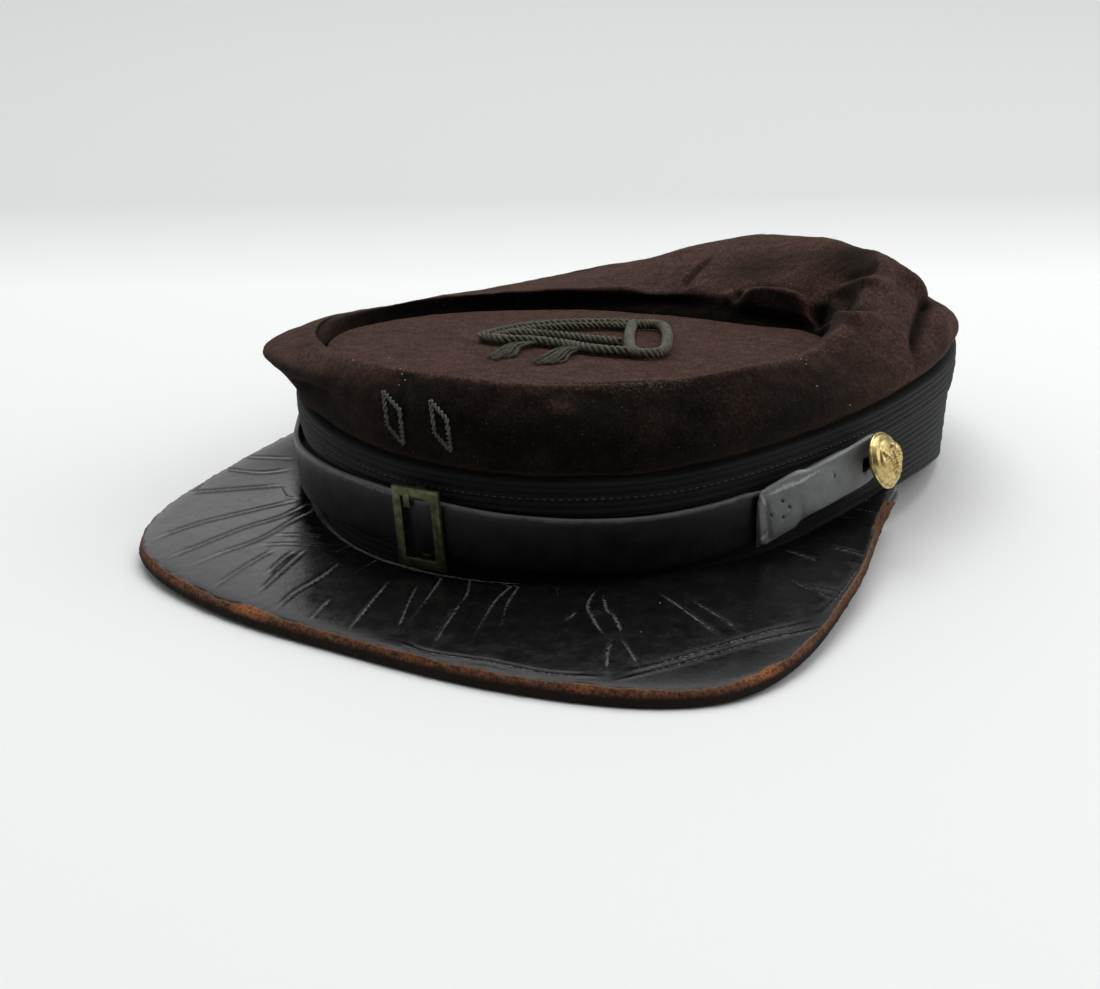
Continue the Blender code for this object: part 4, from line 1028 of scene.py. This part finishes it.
# %% The bird's relief
Relief = namedtuple("Relief", "name half_width half_height depth across up turn")
BIRD = (
    Relief("body", 1.1, 2.7, 0.60, 0.0, -0.1, 0), Relief("head", 0.6, 0.75, 0.55, 0.25, 3.1, 0),
    Relief("beak", 0.5, 0.22, 0.35, 0.95, 3.1, -20), Relief("left wing", 1.0, 2.6, 0.50, -2.4, 0.5, -24),
    Relief("right wing", 1.0, 2.6, 0.50, 2.4, 0.5, 24), Relief("tail", 0.9, 1.1, 0.40, 0.0, -3.3, 0),
    Relief("left foot", 0.3, 0.9, 0.35, -1.1, -2.9, 35), Relief("right foot", 0.3, 0.9, 0.35, 1.1, -2.9, -35),
)
FEATHER = 0.75
GROOVE_AT = 5.2


def bird_height(across, up):
    """How far the relief stands out at places on a button, all in millimetres."""
    height = np.zeros(len(across))
    for part in BIRD:
        turn = math.radians(part.turn)
        aside, above = across - part.across, up - part.up
        x = (aside * math.cos(turn) - above * math.sin(turn)) / part.half_width
        y = (aside * math.sin(turn) + above * math.cos(turn)) / part.half_height
        ball = np.sqrt(np.clip(1 - x**2 - y**2, 0, 1))
        feathers = 1 + 0.28 * np.sin(2 * math.pi * (y * part.half_height + np.abs(x) * 0.8) / FEATHER)
        height = np.maximum(height, 1.25 * part.depth * ball**0.7 * feathers)
    return height - 0.3 * np.exp(-(((np.hypot(across, up) - GROOVE_AT) / 0.35) ** 2))


# %% The buttons
LATHE_STEPS, DOME_RINGS = 144, 44
DOME, BACK, SHANK = 3.0, -2.6, 1.3
RIM_PROFILE = ((0.945, 0.10), (0.965, 0.22), (0.99, 0.14), (1.0, -0.10), (1.0, -0.40), (0.985, -0.60),
               (0.80, BACK * 0.45), (0.45, BACK * 0.92))


def lathe_profile(radius, lowest):
    """A button's half section in millimetres, from the top of its dome to the shank's end."""
    rows = []
    for angle in np.linspace(0, math.radians(86), DOME_RINGS):
        rows.append((radius * 0.94 * math.sin(angle), DOME * math.cos(angle)))
    for share, height in RIM_PROFILE:
        rows.append((radius * share, height))
    return rows + [(SHANK, BACK), (SHANK, lowest + 0.1), (SHANK * 0.9, lowest), (0.0, lowest)]


def gilt_button(node, name):
    centre, radius, (across, up, outward), lowest = button_seat(node)
    rows = lathe_profile(radius / MM, lowest / MM)
    mesh = bpy.data.meshes.new(name)
    mesh.from_pydata([(r * MM, 0, z * MM) for r, z in rows], [(i, i + 1) for i in range(len(rows) - 1)], [])
    made = bpy.data.objects.new(name, mesh)
    bpy.context.scene.collection.objects.link(made)
    select_only(made)
    lathe = made.modifiers.new("lathe", "SCREW")
    lathe.axis = "Z"
    lathe.steps = lathe.render_steps = LATHE_STEPS
    bpy.ops.object.modifier_apply(modifier=lathe.name)
    with edit_mode(made):
        bpy.ops.mesh.remove_doubles(threshold=0.000002)
        bpy.ops.mesh.normals_make_consistent(inside=False)
    bpy.ops.object.shade_smooth()
    points, facing = places(made) / MM, directions(made)
    on_dome = (points[:, 2] > 0.15) & (np.hypot(points[:, 0], points[:, 1]) < radius / MM * 0.93)
    points += facing * (bird_height(points[:, 0], points[:, 1]) * on_dome)[:, None]
    points += facing * (waves(points * MM, 1.6, 2.0) * 0.05)[:, None]
    points *= MM
    move_to(made, centre + points @ np.array((across, up, outward)))
    return made


GILT = metal_finish("gilt_brass", (0.26, 0.185, 0.055), (0.80, 0.63, 0.29), 0.26, 1.6)
for side in ("left", "right"):
    button = gilt_button("button_" + side, side + "_gilt_button")
    paint(button, "hollow", hollowness(button))
    finish_piece(button, "gilt_brass", GILT, "button_" + side)

# %% [markdown]
# ## The corded horn
# The badge is a bugle horn laid out in twisted cord: two cords on each side outline the horn, another
# is its sling, a wrapped cord is the mouth of the bell, and two tassels lie below. A rope is made as a
# ropemaker would: the strands' round sections stand round an axis, Screw sweeps them along a helix, and
# the straight rope is then bent along its path by a Curve modifier.

# %% Where the badge lies
BADGE_CENTRE = (3.0, -39.5)
BADGE_TURN = math.radians(10)
top_skin = skin_of(top)


def badge_point(u, v, lift):
    """A point over the top from the badge's own right and up, in millimetres."""
    x = BADGE_CENTRE[0] + u * math.cos(BADGE_TURN) - v * math.sin(BADGE_TURN)
    y = BADGE_CENTRE[1] + u * math.sin(BADGE_TURN) + v * math.cos(BADGE_TURN)
    above = middle + Vector((x, y, 80)) * MM
    place, _, _, _ = top_skin.ray_cast(above, Vector((0, 0, -1)))
    return np.array(place) + (0, 0, lift * MM)


# %% How a rope is made
ROPE_SIDES = 8
TURN_STEPS = 9


def rope(name, line, radius, strands, pitch):
    """A twisted rope along a line. Radius and pitch are in millimetres."""
    length = np.linalg.norm(np.diff(line, axis=0), axis=1).sum()
    strand = radius * MM / (1 + 1 / math.sin(math.pi / strands))
    bpy.ops.object.select_all(action="DESELECT")
    bpy.ops.mesh.primitive_circle_add(vertices=ROPE_SIDES, radius=strand * 1.12, location=(0, 0, 0))
    made = bpy.context.active_object
    made.name = made.data.name = name
    with edit_mode(made):
        bpy.ops.transform.translate(value=(0, radius * MM - strand, 0))
        for _ in range(strands - 1):
            bpy.ops.mesh.duplicate()
            bpy.ops.transform.rotate(value=2 * math.pi / strands, orient_axis="X", center_override=(0, 0, 0))
    turns = length / (pitch * MM)
    screw = made.modifiers.new("twist", "SCREW")
    screw.axis = "X"
    screw.angle = 2 * math.pi * turns
    screw.screw_offset = length
    screw.steps = screw.render_steps = max(4, int(turns * TURN_STEPS))
    screw.use_normal_calculate = True
    bpy.ops.object.modifier_apply(modifier=screw.name)
    curve = bpy.data.curves.new(name + "_path", "CURVE")
    curve.dimensions = "3D"
    curve.twist_mode = "Z_UP"
    spline = curve.splines.new("POLY")
    spline.points.add(len(line) - 1)
    for spot, place in zip(spline.points, line):
        spot.co = (*place, 1.0)
    guide = bpy.data.objects.new(name + "_path", curve)
    bpy.context.scene.collection.objects.link(guide)
    bend = made.modifiers.new("bend", "CURVE")
    bend.object = guide
    bpy.ops.object.modifier_apply(modifier=bend.name)
    bpy.data.objects.remove(guide)
    with edit_mode(made):
        bpy.ops.mesh.fill_holes(sides=0)
        bpy.ops.mesh.select_all(action="SELECT")
        bpy.ops.mesh.normals_make_consistent(inside=False)
    bpy.ops.object.shade_smooth()
    return made


def joined(name, pieces):
    select_only(*pieces)
    bpy.ops.object.join()
    whole = bpy.context.active_object
    whole.name = whole.data.name = name
    return whole


# %% The horn's cords
Cord = namedtuple("Cord", "name radius pitch path")
HORN_CORDS = (
    Cord("upper edge", 1.25, 5.0,
         ((-21.5, -2.5), (-19.5, 5), (-15.5, 13.5), (-7.5, 21.5), (1.5, 26.5), (9, 27))),
    Cord("lower edge", 1.25, 5.0,
         ((-21.5, -2.5), (-15, -5.5), (-8, -4.5), (0, -5.2), (10, -9.2), (20, -9.5))),
    Cord("sling", 1.1, 4.4, ((-17.5, 6), (-11.5, 6), (-3.5, 5.2), (4.5, 3.8), (13, 2.2))),
    Cord("inner upper cord", 1.0, 4.2,
         ((-19, -0.4), (-17.2, 4.2), (-13.5, 12), (-6.1, 19.4), (2.3, 24), (9, 24.4))),
    Cord("inner lower cord", 1.0, 4.2,
         ((-19, -0.4), (-14.5, -3.1), (-8, -2.1), (0.4, -2.8), (10.2, -6.8), (19, -7.1))),
    Cord("bell", 1.3, 3.4, ((8.5, 26), (16, 26.5), (23, 8), (26, -7.5), (20, -9.5), (13, 9), (8.5, 26))),
)
HORN_STRANDS = 3
LIE = 0.3
ropes = []
for cord in HORN_CORDS:
    line = [badge_point(u, v, cord.radius + LIE) for u, v in cord.path]
    ropes.append(rope(cord.name, curved(line, steps=10), cord.radius, HORN_STRANDS, cord.pitch))

# %% The tassels
TASSEL_THREADS = 9
TASSEL_SPREAD = 3.1
TASSELS = (((-6.5, -4.5), (-9.5, -13.5), (-10.3, -23.5)), ((6, -7.5), (3.5, -15), (2.3, -27)))
chance = random.Random(7)
for number, (root, mid, tip) in enumerate(TASSELS):
    for thread in range(TASSEL_THREADS):
        side = TASSEL_SPREAD * (2 * thread / (TASSEL_THREADS - 1) - 1)
        rise = 0.5 + 0.8 * math.cos(side / TASSEL_SPREAD * math.pi / 2) + chance.uniform(-0.2, 0.5)
        ends = tip[0] + side, tip[1] + abs(side) * 1.4 + chance.uniform(-1, 1)
        route = (
            badge_point(root[0] + side * 0.12, root[1], 1.2),
            badge_point(mid[0] + side * 0.55, mid[1] + 2, rise + 0.5),
            badge_point(mid[0] + side * 0.95, (mid[1] + tip[1]) / 2, rise),
            badge_point(*ends, 0.45),
        )
        ropes.append(rope(f"tassel_{number}_{thread}", curved(route, steps=6), 0.36, 2, 1.7))
horn = joined("corded_horn", ropes)


# %% The cord's finish
def cord_finish(name, dark, light):
    cord = Recipe(name)
    color = cord.ramp(cord.noise(1.4, detail=4), (0.3, dark), (0.7, light))
    fuzz = cord.noise(0.35, detail=4, roughness=0.75)
    cord.set(
        Base_Color=cord.mix(cord.ramp(fuzz, (0.45, 0.0), (0.75, 0.6)), color, tuple(v * 1.8 for v in light)),
        Roughness=0.9,
        Specular_IOR_Level=0.2,
        Sheen_Weight=0.15,
        Sheen_Tint=(0.7, 0.68, 0.55),
        Normal=cord.bump(fuzz, 0.1, 0.8),
    )
    return cord.material


CORD = cord_finish("olive_cord", (0.040, 0.039, 0.029), (0.125, 0.120, 0.090))
finish_piece(horn, "olive_cord", CORD, "horn_badge")

# %% [markdown]
# ## Stitched work at the front
# Two small lozenges are worked in grey thread, one on each side of the front seam. They are a fine
# twisted cord, laid on the wool and caught down. A dotted row of stitches holds the braid's upper strip
# all round the cap.

# %% The lozenges
LOZENGES = (
    ((384, 392), (400, 410), (404, 443), (388, 424), (384, 392)),
    ((431, 401), (447, 419), (451, 450), (435, 432), (431, 401)),
)
final_crown = skin_of(crown)
motifs = []
for number, corners in enumerate(LOZENGES):
    line = []
    for start, end in zip(corners, corners[1:]):
        for share in np.linspace(0, 1, 7)[:-1]:
            pixel = np.array(start) + share * (np.array(end) - start)
            place, facing = seen(final_crown, pixel)
            line.append(np.array(place + facing * 0.25 * MM))
    line.append(line[0])
    motifs.append(rope(f"lozenge_{number}", np.array(line), 0.55, 2, 2.4))
motif = joined("stitched_lozenges", motifs)
THREAD = cord_finish("grey_thread", (0.030, 0.032, 0.030), (0.075, 0.078, 0.072))
finish_piece(motif, "olive_cord", cord_finish("pale_thread", (0.050, 0.052, 0.048), (0.125, 0.129, 0.118)))

# %% Many small things as one mesh
def scattered(name, verts, faces, place_matrices):
    """One mesh that repeats a small shape at every place."""
    shape = np.array(verts)
    rows, polygons = [], []
    for number, matrix in enumerate(place_matrices):
        turned = shape @ np.array(matrix.to_3x3()).T + np.array(matrix.translation)
        rows.append(turned)
        polygons += [[index + number * len(shape) for index in face] for face in faces]
    mesh = bpy.data.meshes.new(name)
    mesh.from_pydata(np.vstack(rows).tolist(), [], polygons)
    mesh.update()
    made = bpy.data.objects.new(name, mesh)
    bpy.context.scene.collection.objects.link(made)
    select_only(made)
    bpy.ops.object.shade_smooth()
    return made


def facing_frame(place, along, outward, size):
    """A frame of a size at a place: its X runs along, and its Z points outwards."""
    out = Vector(outward).normalized()
    way = (Vector(along) - out * out.dot(Vector(along))).normalized()
    side = out.cross(way)
    turn = Matrix([list(column * size) for column in (way, side, out)]).transposed()
    return Matrix.Translation(place) @ turn.to_4x4()


# %% The row of stitches on the braid
STITCH = ((-0.5, 0, 0), (-0.3, 0.13, 0.05), (-0.3, 0, 0.18), (-0.3, -0.13, 0.05), (0.3, 0.13, 0.05),
          (0.3, 0, 0.18), (0.3, -0.13, 0.05), (0.5, 0, 0), (0, 0, -0.2))
STITCH_FACES = ((0, 2, 1), (0, 3, 2), (1, 2, 5, 4), (2, 3, 6, 5), (4, 5, 7), (5, 6, 7),
                (0, 1, 8), (1, 4, 8), (4, 7, 8), (3, 0, 8), (6, 3, 8), (7, 6, 8))
STITCH_ROW = 0.165
STITCH_COUNT = 330
band_skin = skin_of(band)
band_points = places(band)
row_places = []
for number in range(STITCH_COUNT):
    turn = 2 * math.pi * number / STITCH_COUNT
    way = Vector((math.cos(turn), math.sin(turn), 0))
    column = np.abs((compass_of(band_points) - math.degrees(turn) + 180) % 360 - 180) < 0.8
    high, low = band_points[column, 2].max(), band_points[column, 2].min()
    height = high - STITCH_ROW * (high - low)
    start = middle + way * 0.2 + Vector((0, 0, height))
    place, facing, _, _ = band_skin.ray_cast(start, -way)
    row_places.append(facing_frame(place, Vector((-way.y, way.x, 0)), facing, MM))
stitches = scattered("braid_stitches", STITCH, STITCH_FACES, row_places)
finish_piece(stitches, "black_braid", THREAD)

# %% [markdown]
# ## Nap and lint
# A few thousand fine hairs soften the wool's outline, and specks of lint lie where the photograph
# shows them. Each hair is a bent three-sided spike, and all of them are one mesh.

# %% The nap
HAIR = ((0.012, 0, 0), (-0.006, 0.0104, 0), (-0.006, -0.0104, 0), (0.17, 0, 0.5), (0.158, 0.008, 0.5),
        (0.158, -0.008, 0.5), (0.42, 0, 0.95))
HAIR_FACES = ((0, 2, 1), (0, 1, 4, 3), (1, 2, 5, 4), (2, 0, 3, 5), (3, 4, 6), (4, 5, 6), (5, 3, 6))
NAP_HAIRS, TOP_HAIRS = 5200, 900


def hairs_on(piece, count, seed, longest=1.5):
    """Places for hairs, spread evenly over the outer skin of a piece."""
    pick = np.random.default_rng(seed)
    areas = np.zeros(len(piece.data.polygons))
    piece.data.polygons.foreach_get("area", areas)
    centres, facing = table_of(piece.data.polygons, "center"), table_of(piece.data.polygons, "normal")
    for index in pick.choice(len(areas), size=count, p=areas / areas.sum()):
        out = Vector(facing[index])
        lean = Vector(pick.normal(size=3)) * 0.8
        size = pick.uniform(0.5, longest) * MM
        yield facing_frame(Vector(centres[index]), lean, out + lean * 0.45, size)


nap_places = [*hairs_on(crown, NAP_HAIRS, seed=11), *hairs_on(top, TOP_HAIRS, seed=12, longest=1.0)]
nap = scattered("wool_nap", HAIR, HAIR_FACES, nap_places)
finish_piece(nap, "brown_wool", cord_finish("nap_hair", (0.045, 0.032, 0.028), (0.16, 0.125, 0.11)))

# %% The lint
SPECK = ((0.5, 0, 0), (0.1, 0.45, 0), (-0.5, 0.1, 0), (-0.1, -0.4, 0), (0.05, 0, 0.35), (0, 0, -0.3))
SPECK_FACES = ((0, 1, 4), (1, 2, 4), (2, 3, 4), (3, 0, 4), (1, 0, 5), (2, 1, 5), (3, 2, 5), (0, 3, 5))
LINT = ((618.7, 276.8), (732, 308), (758, 291), (817, 386), (806, 360), (353, 360), (389, 358), (400, 369),
        (406, 366), (413, 372), (398, 362), (402, 374), (405, 380), (399, 385), (796, 354), (801, 359),
        (806, 364), (828, 350), (833, 352), (850, 405), (853, 413), (582, 333), (604.5, 334), (635, 380),
        (640, 383), (726, 527), (212, 516), (641, 632), (660, 603))
fluff = []
everything = [final_crown, skin_of(top), skin_of(peak), skin_of(horn)]
for number, pixel in enumerate(LINT):
    hits = [seen(skin, pixel) for skin in everything]
    place, facing = min(hits, key=lambda hit: (hit[0] - camera_place).length)
    size = chance.uniform(0.25, 0.5) * MM
    fluff.append(facing_frame(place, Vector((1, chance.uniform(-1, 1), 0.2)), facing, size))
lint = scattered("lint", SPECK, SPECK_FACES, fluff)
finish_piece(lint, "brown_wool", cord_finish("pale_lint", (0.22, 0.205, 0.18), (0.48, 0.46, 0.41)))

# %% [markdown]
# ## The studio
# The cap lies on a sheet of white paper under large soft lamps. The room is bright above and behind
# the cap and dark behind the camera, which is what the lacquer and the brass reflect.

# %% The paper
# The paper is painted greyer away from the camera: painted shade where less light reaches it.
PAPER_NEAR, PAPER_FAR_SHADED = (0.90, 0.91, 0.895), (0.68, 0.695, 0.68)
PAINTED_FALLOFF = (0.13, 0.21)
bpy.ops.mesh.primitive_plane_add(size=8.0, location=(0, 0, 0))
floor = bpy.context.active_object
floor.name = "floor"
paper = Recipe("white_paper")
behind = paper.node("ShaderNodeVectorMath", operation="DOT_PRODUCT")
behind.inputs[1].default_value = (-CAMERA_OFFSET.x, -CAMERA_OFFSET.y, 0)
paper.feed(behind.inputs[0], paper.place)
painted_falloff = paper.span(behind.outputs["Value"], *PAINTED_FALLOFF)
paper.set(Base_Color=paper.mix(painted_falloff, PAPER_NEAR, PAPER_FAR_SHADED), Roughness=0.9, Specular_IOR_Level=0.2)
floor.data.materials.append(paper.material)


# %% The lamps
def soft_lamp(name, place, size, power):
    """A square lamp that faces the cap."""
    bpy.ops.object.light_add(type="AREA", location=place)
    lamp = bpy.context.active_object
    lamp.name = name
    lamp.data.size = size
    lamp.data.energy = power
    lamp.rotation_euler = (-Vector(place)).to_track_quat("-Z", "Y").to_euler()


soft_lamp("overhead", (-0.15, 0.40, 1.5), 1.5, 15)
soft_lamp("window_behind", (-1.3, 1.4, 0.9), 1.2, 4)
soft_lamp("window_on_the_right", (1.3, 0.35, 0.9), 1.4, 8)

# %% The room
ROOM_BRIGHT, ROOM_DARK = 0.52, 0.018
BRIGHT_UNTIL, DARK_FROM = -0.45, 0.75
LIGHT_FROM_ABOVE = -0.55
world = bpy.data.worlds.new("pale_room")
world.use_nodes = True
nodes, links = world.node_tree.nodes, world.node_tree.links
view_way = nodes.new("ShaderNodeTexCoord")
toward_camera = nodes.new("ShaderNodeVectorMath")
toward_camera.operation = "DOT_PRODUCT"
flat = Vector((CAMERA_OFFSET.x, CAMERA_OFFSET.y, 0)).normalized()
toward_camera.inputs[1].default_value = (flat.x, flat.y, LIGHT_FROM_ABOVE)
links.new(view_way.outputs["Generated"], toward_camera.inputs[0])
shade = nodes.new("ShaderNodeMapRange")
shade.interpolation_type = "SMOOTHSTEP"
for index, value in enumerate((BRIGHT_UNTIL, DARK_FROM, ROOM_BRIGHT, ROOM_DARK), start=1):
    shade.inputs[index].default_value = value
links.new(toward_camera.outputs["Value"], shade.inputs[0])
links.new(shade.outputs[0], nodes["Background"].inputs["Strength"])
nodes["Background"].inputs["Color"].default_value = (0.97, 0.985, 1.0, 1.0)
bpy.context.scene.world = world
bpy.context.scene.view_settings.view_transform = "Standard"
